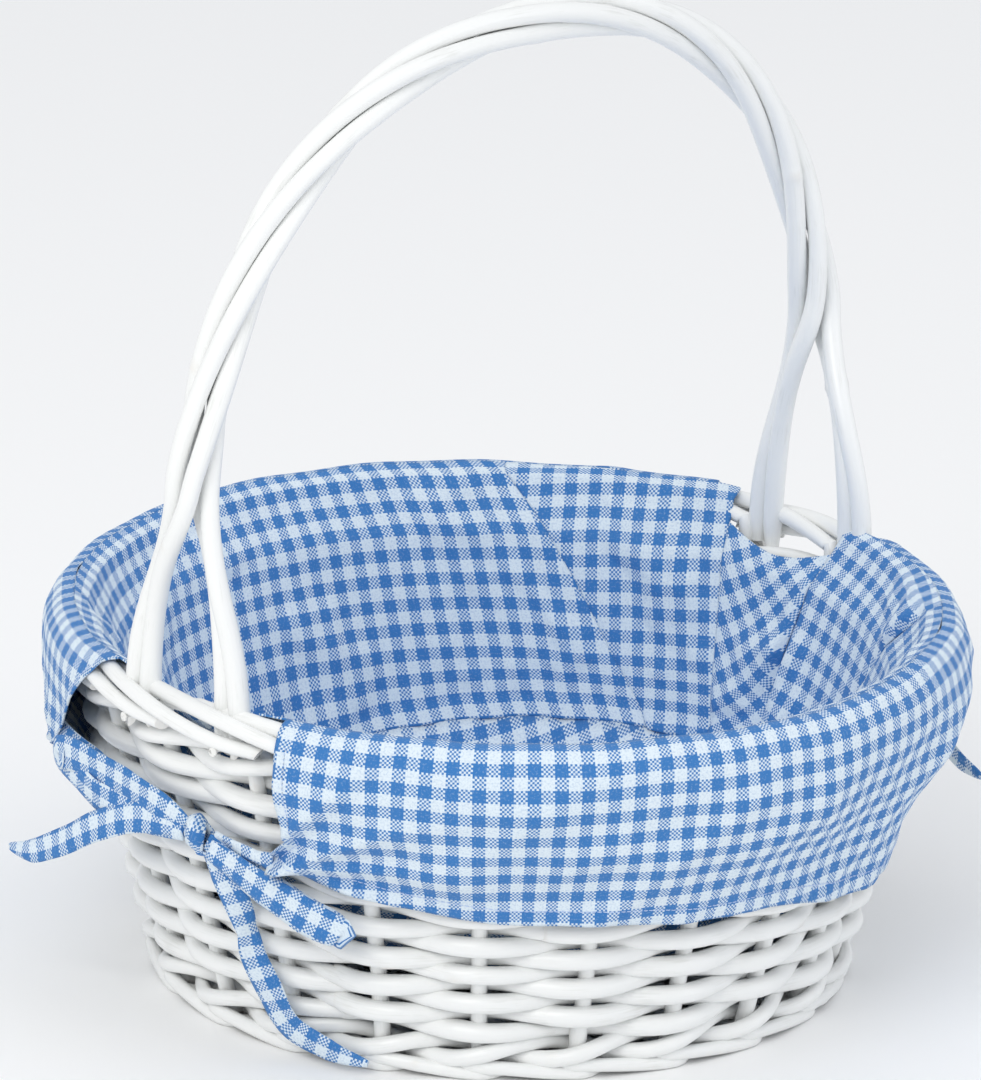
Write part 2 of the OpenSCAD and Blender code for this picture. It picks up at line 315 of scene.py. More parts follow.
@dataclass(frozen=True)
class GinghamCotton:
    """Plain-weave cotton with equal bands of blue and white yarn both ways.

    Where both yarns are blue the square is full blue, where they cross it is a
    half tone made of single threads, which the eye reads as a fine twill. The
    threads are drawn coarser than real ones, so that they show.
    """

    blue: str = "#3C7ABC"
    white: str = "#DEEAF3"
    band_mm: float = 4.5
    thread_mm: float = 0.75
    wander_mm: float = 0.9
    wander_length_mm: float = 22.0
    slub_mm: float = 0.8
    thread_depth_mm: float = 0.12

    def make(self) -> bpy.types.Material:
        """Builds the material and returns it."""
        material, tree, shader = new_material("yarn_dyed_gingham_cotton")
        flat = add_node(tree, "ShaderNodeUVMap", uv_map="flat")
        axes = add_node(tree, "ShaderNodeSeparateXYZ", {0: flat.outputs["UV"]})
        wobble = add_node(
            tree,
            "ShaderNodeTexNoise",
            {"Vector": flat.outputs["UV"], "Scale": 1 / (self.wander_length_mm * MM)},
        )
        shift = add_node(
            tree,
            "ShaderNodeMath",
            {0: wobble.outputs[0], 1: self.wander_mm * MM, 2: -self.wander_mm / 2 * MM},
            operation="MULTIPLY_ADD",
        )
        band, thread = [], []
        for axis in (0, 1):
            at = add_node(
                tree, "ShaderNodeMath", {0: axes.outputs[axis], 1: shift.outputs[0]}, operation="ADD"
            )
            repeats = 1 / (2 * self.band_mm * MM)
            turn = add_node(
                tree, "ShaderNodeMath", {0: at.outputs[0], 1: repeats}, operation="MULTIPLY"
            )
            part = add_node(tree, "ShaderNodeMath", {0: turn.outputs[0]}, operation="FRACT")
            first = add_node(tree, "ShaderNodeMath", {0: part.outputs[0], 1: 0.5}, operation="LESS_THAN")
            band.append(first.outputs[0])
            count = add_node(
                tree, "ShaderNodeMath", {0: at.outputs[0], 1: 1 / (self.thread_mm * MM)}, operation="MULTIPLY"
            )
            thread.append(count.outputs[0])
        cell = [add_node(tree, "ShaderNodeMath", {0: t}, operation="FLOOR").outputs[0] for t in thread]
        both = add_node(tree, "ShaderNodeMath", {0: cell[0], 1: cell[1]}, operation="ADD")
        half = add_node(tree, "ShaderNodeMath", {0: both.outputs[0], 1: 0.5}, operation="MULTIPLY")
        odd = add_node(tree, "ShaderNodeMath", {0: half.outputs[0]}, operation="FRACT")
        on_top = add_node(tree, "ShaderNodeMath", {0: odd.outputs[0], 1: 0.25}, operation="GREATER_THAN")
        seen = add_node(
            tree, "ShaderNodeMix", {0: on_top.outputs[0], 2: band[0], 3: band[1]}, data_type="FLOAT"
        )
        average = add_node(tree, "ShaderNodeMath", {0: band[0], 1: band[1]}, operation="ADD")
        average = add_node(tree, "ShaderNodeMath", {0: average.outputs[0], 1: 0.5}, operation="MULTIPLY")
        blend = add_node(
            tree, "ShaderNodeMix", {0: 0.85, 2: average.outputs[0], 3: seen.outputs[0]}, data_type="FLOAT"
        )
        slub = add_node(
            tree,
            "ShaderNodeTexNoise",
            {"Vector": flat.outputs["UV"], "Scale": 1 / (self.slub_mm * MM), "Detail": 2.0},
        )
        stray = add_node(
            tree,
            "ShaderNodeMapRange",
            {"Value": slub.outputs[0], "From Min": 0.25, "From Max": 0.75, "To Min": -0.22, "To Max": 0.3},
        )
        dye = add_node(
            tree,
            "ShaderNodeMath",
            {0: blend.outputs[0], 1: stray.outputs[0]},
            operation="ADD",
            use_clamp=True,
        )
        colour = add_node(
            tree,
            "ShaderNodeMix",
            {0: dye.outputs[0], 6: linear(self.white), 7: linear(self.blue)},
            data_type="RGBA",
        )
        tree.links.new(colour.outputs[2], shader.inputs["Base Color"])
        waves = []
        for t in thread:
            wave = add_node(tree, "ShaderNodeMath", {0: t, 1: math.pi}, operation="MULTIPLY")
            wave = add_node(tree, "ShaderNodeMath", {0: wave.outputs[0]}, operation="SINE")
            wave = add_node(tree, "ShaderNodeMath", {0: wave.outputs[0]}, operation="ABSOLUTE")
            waves.append(wave.outputs[0])
        relief = add_node(
            tree, "ShaderNodeMix", {0: on_top.outputs[0], 2: waves[0], 3: waves[1]}, data_type="FLOAT"
        )
        bump = add_node(
            tree,
            "ShaderNodeBump",
            {"Height": relief.outputs[0], "Strength": 0.35, "Distance": self.thread_depth_mm * MM},
        )
        tree.links.new(bump.outputs[0], shader.inputs["Normal"])
        shader.inputs["Roughness"].default_value = 0.92
        shader.inputs["Specular IOR Level"].default_value = 0.25
        shader.inputs["Sheen Weight"].default_value = 0.12
        shader.inputs["Sheen Roughness"].default_value = 0.5
        return material


@dataclass(frozen=True)
class PaintedSteel:
    """Small round nails painted over in white, a little rounder and glossier than the wood."""

    paint: str = "#EDEDEA"
    steel: str = "#9A9A98"
    chip_mm: float = 1.5

    def make(self) -> bpy.types.Material:
        """Builds the material and returns it."""
        material, tree, shader = new_material("white_paint_on_steel_nail")
        place = add_node(tree, "ShaderNodeTexCoord")
        chips = add_node(
            tree,
            "ShaderNodeTexNoise",
            {"Vector": place.outputs["Object"], "Scale": 1 / (self.chip_mm * MM), "Detail": 2.0},
        )
        worn = add_node(
            tree, "ShaderNodeMapRange", {"Value": chips.outputs[0], "From Min": 0.55, "From Max": 0.75}
        )
        mix = add_node(
            tree,
            "ShaderNodeMix",
            {0: worn.outputs[0], 6: linear(self.paint), 7: linear(self.steel)},
            data_type="RGBA",
        )
        tree.links.new(mix.outputs[2], shader.inputs["Base Color"])
        shader.inputs["Roughness"].default_value = 0.35
        return material


@dataclass(frozen=True)
class SewingThread:
    """Pale blue polyester thread, which shows as a fine dashed line along the hems."""

    colour: str = "#C9D8F0"
    shade: str = "#A9C0E6"
    ply_mm: float = 0.4

    def make(self) -> bpy.types.Material:
        """Builds the material and returns it."""
        material, tree, shader = new_material("pale_blue_polyester_thread")
        place = add_node(tree, "ShaderNodeTexCoord")
        ply = add_node(
            tree,
            "ShaderNodeTexNoise",
            {"Vector": place.outputs["Object"], "Scale": 1 / (self.ply_mm * MM), "Detail": 1.0},
        )
        mix = add_node(
            tree,
            "ShaderNodeMix",
            {0: ply.outputs[0], 6: linear(self.colour), 7: linear(self.shade)},
            data_type="RGBA",
        )
        tree.links.new(mix.outputs[2], shader.inputs["Base Color"])
        shader.inputs["Roughness"].default_value = 0.6
        return material


# ----------------------------------------------------------------------- rods


@dataclass
class Rod:
    """One willow rod: its centre line and its thickness along it.

    Attributes:
        path: Points along the centre line.
        radius: The radius at each point.
        side: A direction that the path never takes.
        closed: Whether the rod runs round into itself.
        slant: How far each cut end leans, as a share of the radius.
        knots: How many knots it carries.
    """

    path: Array
    radius: Array
    side: Array
    closed: bool = False
    slant: float = 0.9
    knots: int = 0


class RodMaker:
    """Turns rods into one mesh, with the grain laid out flat along each rod."""

    def __init__(self, seed: int, sides: int = 12) -> None:
        """Starts a maker with its own seed and number of sides."""
        self.random = random.Random(seed)
        self.sides = sides
        self.verts: list[Array] = []
        self.faces: list[tuple[int, ...]] = []
        self.uvs: list[tuple[float, float]] = []
        self.tone: list[Array] = []
        self.count = 0

    def add(self, rod: Rod) -> None:
        """Adds one rod.

        Args:
            rod: The rod.
        """
        path, n, k = rod.path, len(rod.path), self.sides
        if rod.closed:
            along = np.roll(path, -1, 0) - np.roll(path, 1, 0)
        else:
            along = np.gradient(path, axis=0)
        along = unit(along)
        across = unit(np.cross(along, np.broadcast_to(rod.side, along.shape)))
        up = np.cross(across, along)
        angle = np.linspace(0, 2 * math.pi, k, endpoint=False)
        cos, sin = np.cos(angle), np.sin(angle)
        at = distance_along(path)
        radius = np.repeat(rod.radius[:, None], k, 1)
        tone = np.zeros((n, k))
        for _ in range(rod.knots):
            spot = self.random.uniform(0.04, 0.96) * at[-1]
            facing = self.random.uniform(0, 2 * math.pi)
            size = self.random.uniform(2.0, 3.2)
            near = np.exp(-(((at - spot) / size) ** 2))[:, None]
            round_it = np.exp(2.2 * (np.cos(angle - facing) - 1))[None, :]
            radius = radius + near * round_it * self.random.uniform(0.3, 0.75)
            mark = np.exp(-(((at - spot) / 1.3) ** 2))[:, None]
            tone += mark * round_it**4 * self.random.uniform(0.05, 0.35)
        ring = path[:, None] + radius[..., None] * (
            cos[None, :, None] * across[:, None] + sin[None, :, None] * up[:, None]
        )
        if not rod.closed:
            lean = self.random.uniform(0, 2 * math.pi)
            for end in (0, n - 1):
                push = rod.slant * rod.radius[end] * np.cos(angle - lean)
                ring[end] += push[:, None] * along[end]
                tone[end] += 0.12
        base, grain = self.count, self.random.uniform(0, 1)
        girth = 2 * math.pi * float(np.mean(rod.radius)) * MM
        spans = n if rod.closed else n - 1
        steps = np.append(at, at[-1] + np.linalg.norm(path[0] - path[-1])) * MM
        for i in range(spans):
            j = (i + 1) % n
            for s in range(k):
                t = (s + 1) % k
                self.faces.append((base + i * k + s, base + j * k + s, base + j * k + t, base + i * k + t))
                u0, u1 = grain + girth * s / k, grain + girth * (s + 1) / k
                self.uvs += [(u0, steps[i]), (u0, steps[i + 1]), (u1, steps[i + 1]), (u1, steps[i])]
        if not rod.closed:
            for row, order in ((0, range(k)), (n - 1, range(k - 1, -1, -1))):
                self.faces.append(tuple(base + row * k + s for s in order))
                self.uvs += [(grain + cos[s] * girth / 6, steps[row] + sin[s] * girth / 6) for s in order]
        self.verts.append(ring.reshape(-1, 3))
        self.tone.append(np.clip(tone, 0, 0.6).ravel())
        self.count += n * k

    def make(self, name: str) -> bpy.types.Object:
        """Makes the mesh of all the rods.

        Args:
            name: The piece's name.

        Returns:
            The piece.
        """
        verts, tone = np.concatenate(self.verts), np.concatenate(self.tone)
        obj = mesh_piece(name, verts, self.faces, np.array(self.uvs), tone)
        pick(obj)
        bpy.ops.object.shade_smooth_by_angle(angle=math.radians(50))
        return obj


@dataclass(frozen=True)
class Wicker:
    """The sizes that every woven piece shares."""

    stakes: int = 22
    foot_r: float = 117.0
    lean: float = 0.27
    stake_d: float = 6.0
    rod_d: float = 5.4
    rim_z: float = 125.0
    first_row_z: float = 15.5
    row_pitch: float = 5.8
    rows: int = 16
    wind_r: float = 5.2

    @property
    def step(self) -> float:
        """Angle from one stake to the next."""
        return 360 / self.stakes

    @property
    def weave_out(self) -> float:
        """Distance from a stake's centre to a rod's that passes it."""
        return self.stake_d / 2 + self.rod_d / 2 + 0.1

    @property
    def border_r(self) -> float:
        """Radius of the border's centre."""
        return self.foot_r + self.lean * self.rim_z + 3.5

    def stake_r(self, z: float) -> float:
        """Gives the radius of the stake circle at a height."""
        return self.foot_r + self.lean * z

    def stake_a(self, i: float) -> float:
        """Gives the angle of a stake."""
        return (i + 0.5) * self.step

    def skin_r(self, z: float) -> float:
        """Gives the outside radius of the weaving at a height."""
        return self.stake_r(z) + self.weave_out + self.rod_d / 2

    def swing(self, degrees: float, phase: int) -> float:
        """How far out a weaving rod is at an angle.

        Args:
            degrees: The angle round the basket.
            phase: 0 passes outside the even stakes, 1 outside the odd ones.

        Returns:
            1 outside a stake, -1 inside one, and between them elsewhere.
        """
        turn = degrees / self.step - 0.5 + phase
        wave = math.cos(math.pi * turn)
        return math.copysign(abs(wave) ** 1.1, wave)


WICKER = Wicker()


@dataclass
class SideWeave:
    """The rows of plain weaving, each of a few tapering rods laid end to end."""

    wicker: Wicker = WICKER
    thick: float = 3.55
    thin: float = 3.0
    rods_per_row: int = 3
    points_per_stake: int = 10

    def row(self, number: int, z: float) -> list[Rod]:
        """Lays the rods of one row.

        Args:
            number: The row's number, which sets the stakes it passes outside and seeds its small differences.
            z: Its height.

        Returns:
            The row's rods, which overlap a little where one follows another.
        """
        w, pick_one = self.wicker, random.Random(400 + number)
        starts = sorted(pick_one.sample(range(0, w.stakes, 2), self.rods_per_row))
        wave = [(pick_one.uniform(0.2, 0.5), pick_one.uniform(0, 6.28), n) for n in (2, 3, 5)]
        tilt = pick_one.uniform(0, 6.28)
        rods = []
        for j, start in enumerate(starts):
            stop = starts[(j + 1) % len(starts)] + (w.stakes if j == len(starts) - 1 else 0)
            first, last = w.stake_a(start) - 7.5, w.stake_a(stop) + 6.5
            count = int((last - first) / w.step * self.points_per_stake) + 1
            path, radius = [], []
            for t in np.linspace(0, 1, count):
                a = first + (last - first) * t
                up = sum(h * math.sin(n * math.radians(a) + p) for h, p, n in wave)
                small = 0.25 * math.sin(math.radians(a * w.stakes / 2) + tilt)
                up += small + 0.3 * math.sin(a / 9.1 + 2 * tilt)
                swing = w.swing(a, number)
                tuck = 1.1 * (ease((t - 0.97) / 0.03) + ease((0.03 - t) / 0.03))
                path.append(polar(w.stake_r(z) + swing * (w.weave_out - 1.5) - tuck, a, z + up))
                taper = self.thick + (self.thin - self.thick) * t
                radius.append(taper * (0.84 + 0.26 * ease(0.5 + 0.5 * swing)))
            rods.append(Rod(np.array(path), np.array(radius), UP, knots=pick_one.randint(1, 3)))
        return rods

    def build(self, willow: bpy.types.Material) -> None:
        """Builds and dresses every row of the side.

        Args:
            willow: The rods' material.
        """
        w = self.wicker
        for k in range(1, w.rows + 1):
            maker = RodMaker(100 + k)
            z = w.first_row_z + (k - 0.5) * w.row_pitch
            for rod in self.row(k, z):
                maker.add(rod)
            piece = maker.make(f"side_row_{k:02d}_rods")
            finish_piece(piece, willow, Slot.WILLOW, [f"side_row_{k:02d}"])
        LOG.info("side rows: %d", w.rows)


@dataclass
class Pairing:
    """Two rods that twist round each other past every stake, at the foot and under the border."""

    wicker: Wicker = WICKER
    radius: float = 2.85
    points_per_stake: int = 12

    def rods(self, z: float, seed: int) -> list[Rod]:
        """Lays the two rods.

        Args:
            z: Height of the pair's middle.
            seed: Seeds their small differences.

        Returns:
            Two closed rods.
        """
        w, out = self.wicker, []
        shift = random.Random(seed).uniform(0, 6.28)
        for j in (0, 1):
            path = []
            count = w.stakes * self.points_per_stake
            for i in range(count):
                a = i * 360 / count
                swing = w.swing(a, j)
                turn = math.pi * (a / w.step - 0.5 + j)
                cross = math.sin(turn) * (w.rod_d / 2 + 0.25)
                wave = 0.4 * math.sin(3 * math.radians(a) + shift)
                path.append(polar(w.stake_r(z) + swing * w.weave_out, a, z + cross + wave))
            uneven = np.sin(np.linspace(0, 4 * math.pi, count, endpoint=False) + shift)
            thickness = self.radius * (1 + 0.08 * uneven)
            out.append(Rod(np.array(path), thickness, UP, closed=True, knots=5))
        return out

    def build(self, willow: bpy.types.Material) -> None:
        """Builds and dresses the foot's and the top's pairs.

        Args:
            willow: The rods' material.
        """
        w = self.wicker
        foot_z = w.rod_d * math.sin(math.radians(60)) + w.rod_d
        top_z = w.first_row_z + w.rows * w.row_pitch + w.rod_d - 0.1
        for name, z, seed in (("foot_pairing", foot_z, 31), ("top_pairing", top_z, 32)):
            maker = RodMaker(seed)
            for rod in self.rods(z, seed):
                maker.add(rod)
            finish_piece(maker.make(f"{name}_rods"), willow, Slot.WILLOW, [name])
        LOG.info("pairings: foot and top")


@dataclass
class Base:
    """The crossed sticks, the rounds woven over them and the round that the basket stands on."""

    wicker: Wicker = WICKER
    stick_d: float = 6.4
    base_z: float = 8.4
    rod_r: float = 2.2
    first_r: float = 36.0
    pitch: float = 6.6
    rounds: int = 11
    spokes: int = 16

    def sticks(self, turn: float, centre_z: float, seed: int) -> RodMaker:
        """Lays four sticks side by side that fan out to the edge.

        Args:
            turn: The direction of their middles.
            centre_z: Their height where they cross.
            seed: Seeds their small differences.

        Returns:
            A maker holding the four sticks.
        """
        maker = RodMaker(seed)
        out = self.wicker.stake_r(self.base_z) - self.wicker.stake_d / 2 - 4
        for j in range(4):
            side, fan = (j - 1.5) * (self.stick_d + 0.3), (j - 1.5) * 360 / self.spokes
            f = math.radians(fan)
            points = [
                [-out * math.cos(f), out * math.sin(f), self.base_z],
                [-44, side * 1.25, self.base_z],
                [-24, side, centre_z],
                [0, side, centre_z],
                [24, side, centre_z],
                [44, side * 1.25, self.base_z],
                [out * math.cos(f), out * math.sin(f), self.base_z],
            ]
            path = through(points, 60)
            c, s = math.cos(math.radians(turn)), math.sin(math.radians(turn))
            path = path @ np.array([[c, s, 0], [-s, c, 0], [0, 0, 1.0]])
            taper = 1 - 0.2 * np.linspace(-1, 1, 60) ** 2
            maker.add(Rod(path, taper * self.stick_d / 2, UP, knots=2))
        return maker

    def weaving(self) -> RodMaker:
        """Weaves the rounds of thin rod over and under the spokes."""
        maker = RodMaker(52, sides=10)
        hop = self.stick_d / 2 + self.rod_r
        for k in range(self.rounds):
            r = self.first_r + k * self.pitch
            count = self.spokes * 10
            path = []
            for i in range(count):
                a = i * 360 / count
                wave = math.cos(math.pi * (a * self.spokes / 360 - 0.5 + k))
                path.append(polar(r, a, self.base_z + math.copysign(abs(wave) ** 0.7, wave) * hop))
            maker.add(Rod(np.array(path), np.full(count, self.rod_r), UP, closed=True, knots=2))
        return maker

    def foot(self) -> RodMaker:
        """Lays the lowest round: three rods, each outside two stakes and inside the next."""
        w, maker = self.wicker, RodMaker(53)
        for j in range(3):
            path = []
            for a in np.linspace(30 + j * w.step, 402 + j * w.step, 300):
                x = 2 * math.pi * (a / w.step - 0.5 - j) / 3
                swing = math.sin(math.pi / 2 * min(max(-2 * math.cos(x), -1), 1))
                z = 3.7 + 1.8 * math.sin(x)
                path.append(polar(w.stake_r(z) + swing * (w.weave_out - 0.2), a, z))
            maker.add(Rod(np.array(path), np.linspace(2.7, 2.3, 300), UP, knots=5))
        for points in maker.verts:
            points[:, 2] = np.maximum(points[:, 2], 0.05)
        return maker

    def build(self, willow: bpy.types.Material) -> None:
        """Builds and dresses the base.

        Args:
            willow: The rods' material.
        """
        lift = self.stick_d / 2 + 0.1
        jobs = (
            ("base_sticks_under", self.sticks(0, self.base_z - lift, 50)),
            ("base_sticks_over", self.sticks(90, self.base_z + lift, 51)),
            ("base_weave", self.weaving()),
            ("foot_row", self.foot()),
        )
        for name, maker in jobs:
            finish_piece(maker.make(f"{name}_rods"), willow, Slot.WILLOW, [name])
        LOG.info("base: sticks, weaving and foot")


@dataclass
class Stakes:
    """The upright stakes, from the base's edge up to the border."""

    wicker: Wicker = WICKER

    def build(self, willow: bpy.types.Material) -> None:
        """Builds and dresses the stakes.

        Args:
            willow: The stakes' material.
        """
        w, maker = self.wicker, RodMaker(61, sides=14)
        pick_one = random.Random(62)
        top = w.rim_z - w.wind_r - 3
        for i in range(w.stakes):
            a = w.stake_a(i)
            points = [
                polar(w.stake_r(0) - 12, a, 5.4),
                polar(w.stake_r(0) + 0.5, a, 4.6),
                polar(w.stake_r(9), a, 9),
                polar(w.stake_r(40), a + pick_one.uniform(-0.3, 0.3), 40),
                polar(w.stake_r(80), a + pick_one.uniform(-0.3, 0.3), 80),
                polar(w.stake_r(top), a, top),
            ]
            path = through(points, 70)
            radius = np.interp(np.linspace(0, 1, 70), [0, 0.2, 0.4, 1], [1.8, 2.6, 3.0, 2.75])
            maker.add(Rod(path, radius, polar(1, a + 90, 0), knots=2))
        finish_piece(maker.make("side_stakes_rods"), willow, Slot.WILLOW, ["side_stakes"])
        LOG.info("stakes: %d", w.stakes)


@dataclass
class Border:
    """The rolled rim, where each stake's end winds over and lies down behind its neighbours.

    Attributes:
        wicker: The shared sizes.
        steps: How many stakes each end passes.
        rise: Heights at which each end still stands on its stake.
        wind_from: Where each end starts its turn over the rim, in degrees.
        wind: How far it turns.
    """

    wicker: Wicker = WICKER
    steps: float = 3.2
    rise: tuple[float, ...] = (108.0, 112.0, 116.0)
    wind_from: float = 172.0
    wind: float = 228.0

    def build(self, willow: bpy.types.Material) -> None:
        """Builds and dresses the border.

        Args:
            willow: The rods' material.
        """
        w, maker = self.wicker, RodMaker(71, sides=14)
        pick_one = random.Random(72)
        for i in range(w.stakes):
            lay, a = pick_one.uniform(-0.25, 0.25), w.stake_a(i)
            path = [polar(w.stake_r(z), a, z) for z in self.rise]
            for t in np.linspace(0, 1, 44):
                wind = math.radians(self.wind_from - self.wind * t)
                reach = w.wind_r + 0.3 - 0.9 * ease((t - 0.85) / 0.15)
                turn = (t * self.steps + lay * math.sin(math.pi * t)) * w.step
                out, up = reach * math.cos(wind), reach * math.sin(wind)
                path.append(polar(w.border_r + out, a + turn, w.rim_z + up))
            path = through(path, 70)
            radius = np.interp(np.linspace(0, 1, 70), [0, 0.12, 0.3, 1], [2.6, 2.8, 3.05, 2.5])
            maker.add(Rod(path, radius, polar(1, a + 26, 0), knots=1, slant=0.6))
        finish_piece(maker.make("rim_border_rods"), willow, Slot.WILLOW, ["rim_border"])
        LOG.info("border: %d rods", w.stakes)


@dataclass
class Handle:
    """Four rods twisted into one arch, which part into two pairs at each end.

    Attributes:
        wicker: The shared sizes.
        top: Height of the rope's middle.
        base_z: Height of the feet.
        half: Half the arch's width.
        tuck: How far the feet are drawn in.
        tuck_share: Share of the arch over which they are.
        swell: How full the arch's shoulders are, fuller below 1.
        rod_d: A rod's diameter.
        spread: Half the distance between the two pairs at a foot.
        shift: How far both pairs are moved along the rim.
        turns: Turns of the twist from end to end.
        splay: Share of the arch over which the pairs part.
        loose: How much looser the rope is where it opens, where that is, and over what share.
        points: Points along a rod.
        nails: Radius, length and place out from the border of a nail's head and of its shank.
        nail_drop: How far below the rim's centre the nails are.
    """

    wicker: Wicker = WICKER
    top: float = 346.0
    base_z: float = 118.0
    half: float = 162.0
    tuck: float = 12.0
    tuck_share: float = 0.09
    swell: float = 0.646
    rod_d: float = 7.0
    spread: float = 22.0
    shift: float = 8.0
    turns: float = 3.2
    splay: float = 0.078
    loose: tuple[float, float, float] = (0.22, 0.16, 0.06)
    points: int = 300
    nails: tuple[tuple[float, float, float], ...] = ((1.7, 0.8, 6.3), (0.7, 10.0, 1.4))
    nail_drop: float = 6.0

    def arch(self, t: float) -> Array:
        """Gives the arch's centre line.

        Args:
            t: From 0 at the west end to 1 at the east.

        Returns:
            The point.
        """
        s = math.pi * (1 - t)
        c = math.cos(s)
        tuck = self.tuck * (1 - ease(min(t, 1 - t) / self.tuck_share))
        x = math.copysign(self.half * abs(c) ** 0.925 - tuck, c)
        return np.array([x, 0, self.base_z + (self.top - self.base_z) * max(math.sin(s), 0) ** self.swell])

    def point(self, j: int, w: float) -> Array:
        """Gives a point of one rod's centre line.

        Args:
            j: The rod's number, from 0 to 3.
            w: From 0 at the west end to 1 at the east, as the twist counts it.

        Returns:
            The point.
        """
        t = (1 - math.cos(math.pi * w)) / 2
        end = 1 if w < 0.5 else -1
        step = unit(self.arch(min(t + 0.004, 1)) - self.arch(max(t - 0.004, 0)))
        outward = np.array([-step[2], 0, step[0]])
        splay = 1 - ease(min(t, 1 - t) / self.splay)
        twist = math.radians(90 * j + 45 + 360 * self.turns * (w - 0.5))
        share, middle, wide = self.loose
        loose = math.exp(-(((min(w, 1 - w) - middle) / wide) ** 2))
        rope_r = (self.rod_d / math.sqrt(2) + 0.1) * (1 + share * loose)
        rope = rope_r * (math.cos(twist) * outward + math.sin(twist) * np.array([0, -1.0, 0]))
        side, beside = (1 if j in (0, 3) else -1) * end, (-1 if j < 2 else 1)
        foot = np.array([0, side * self.spread + end * self.shift + beside * (self.rod_d / 2 + 0.1), 0])
        return self.arch(t) + (1 - splay) * rope + splay * foot

    def build(self, willow: bpy.types.Material, steel: bpy.types.Material) -> None:
        """Builds and dresses the rods and their nails.

        Args:
            willow: The rods' material.
            steel: The nails' material.
        """
        spacing = np.linspace(0, 1, self.points)
        for j in range(4):
            maker = RodMaker(80 + j, sides=18)
            path = np.array([self.point(j, w) for w in spacing])
            pick_one = random.Random(90 + j)
            uneven = 0.04 * np.sin(spacing * 23 + pick_one.uniform(0, 6))
            swell = 1 + uneven + 0.02 * np.sin(spacing * 61 + j)
            tip = np.array([0.75 + 0.25 * ease(min(w, 1 - w) / 0.03) for w in spacing])
            foot = np.array([1 + 0.07 * (1 - ease(min(w, 1 - w) / 0.2)) for w in spacing])
            radius = self.rod_d / 2 * swell * tip * foot
            maker.add(Rod(path, radius, np.array([0, 1.0, 0]), knots=7, slant=1.6))
            name = f"handle_rod_{j + 1}"
            finish_piece(maker.make(f"{name}_willow"), willow, Slot.WILLOW, [name])
        self.build_nails(steel)
        LOG.info("handle: four rods and their nails")

    def build_nails(self, steel: bpy.types.Material) -> None:
        """Builds the nail through each pair of rods.

        Args:
            steel: The nails' material.
        """
        made = []
        w = self.wicker
        degrees_per_mm = 0.38
        for end in End:
            for side in (-1, 1):
                turn = end.value + (side * self.spread - self.shift) * degrees_per_mm
                for radius, depth, out in self.nails:
                    deselect()
                    bpy.ops.mesh.primitive_cylinder_add(
                        vertices=24,
                        radius=radius * MM,
                        depth=depth * MM,
                        location=Vector(polar(w.border_r + out, turn, w.rim_z - self.nail_drop)) * MM,
                        rotation=(0, math.pi / 2, math.radians(turn)),
                    )
                    made.append(bpy.context.object)
        deselect()
        for obj in made:
            obj.select_set(True)
        bpy.context.view_layer.objects.active = made[0]
        bpy.ops.object.join()
        nails = bpy.context.object
        nails.name = nails.data.name = "handle_nails_steel"
        bpy.ops.object.transform_apply(location=True, rotation=True, scale=True)
        apply_modifier(nails, "BEVEL", width=0.25 * MM, segments=2, limit_method="ANGLE")
        bpy.ops.object.shade_smooth_by_angle(angle=math.radians(40))
        finish_piece(nails, steel, Slot.STEEL, ["handle_nails"])


# ---------------------------------------------------------------------- cloth


class Creases:
    """Soft creases in cloth: a sum of seeded waves with sharper crests than troughs."""

    def __init__(self, seed: int, height: float, longest: float = 90.0, shortest: float = 18.0) -> None:
        """Seeds the waves.

        Args:
            seed: The seed.
            height: Height of the largest crease.
            longest: The longest wave.
            shortest: The shortest wave.
        """
        pick_one = random.Random(seed)
        self.waves = []
        count = 9
        for i in range(count):
            wave = longest * (shortest / longest) ** (i / (count - 1))
            facing = pick_one.uniform(0, math.pi)
            ku, kv = 2 * math.pi / wave * math.cos(facing), 2 * math.pi / wave * math.sin(facing)
            self.waves.append((ku, kv, pick_one.uniform(0, 6.28), height * (wave / longest) ** 1.15))

    def at(self, u: float, v: float) -> float:
        """Sums the waves at a place.

        Args:
            u: The place across the flat cloth.
            v: The place down it.

        Returns:
            The creases' height there.
        """
        total = 0.0
        for ku, kv, phase, height in self.waves:
            bend = 0.9 * math.sin(0.021 * u + phase) + 0.7 * math.sin(0.027 * v - phase)
            total += height * (1 - 2 * abs(math.sin(0.5 * (ku * u + kv * v + phase + bend)))) * 0.5
        return total


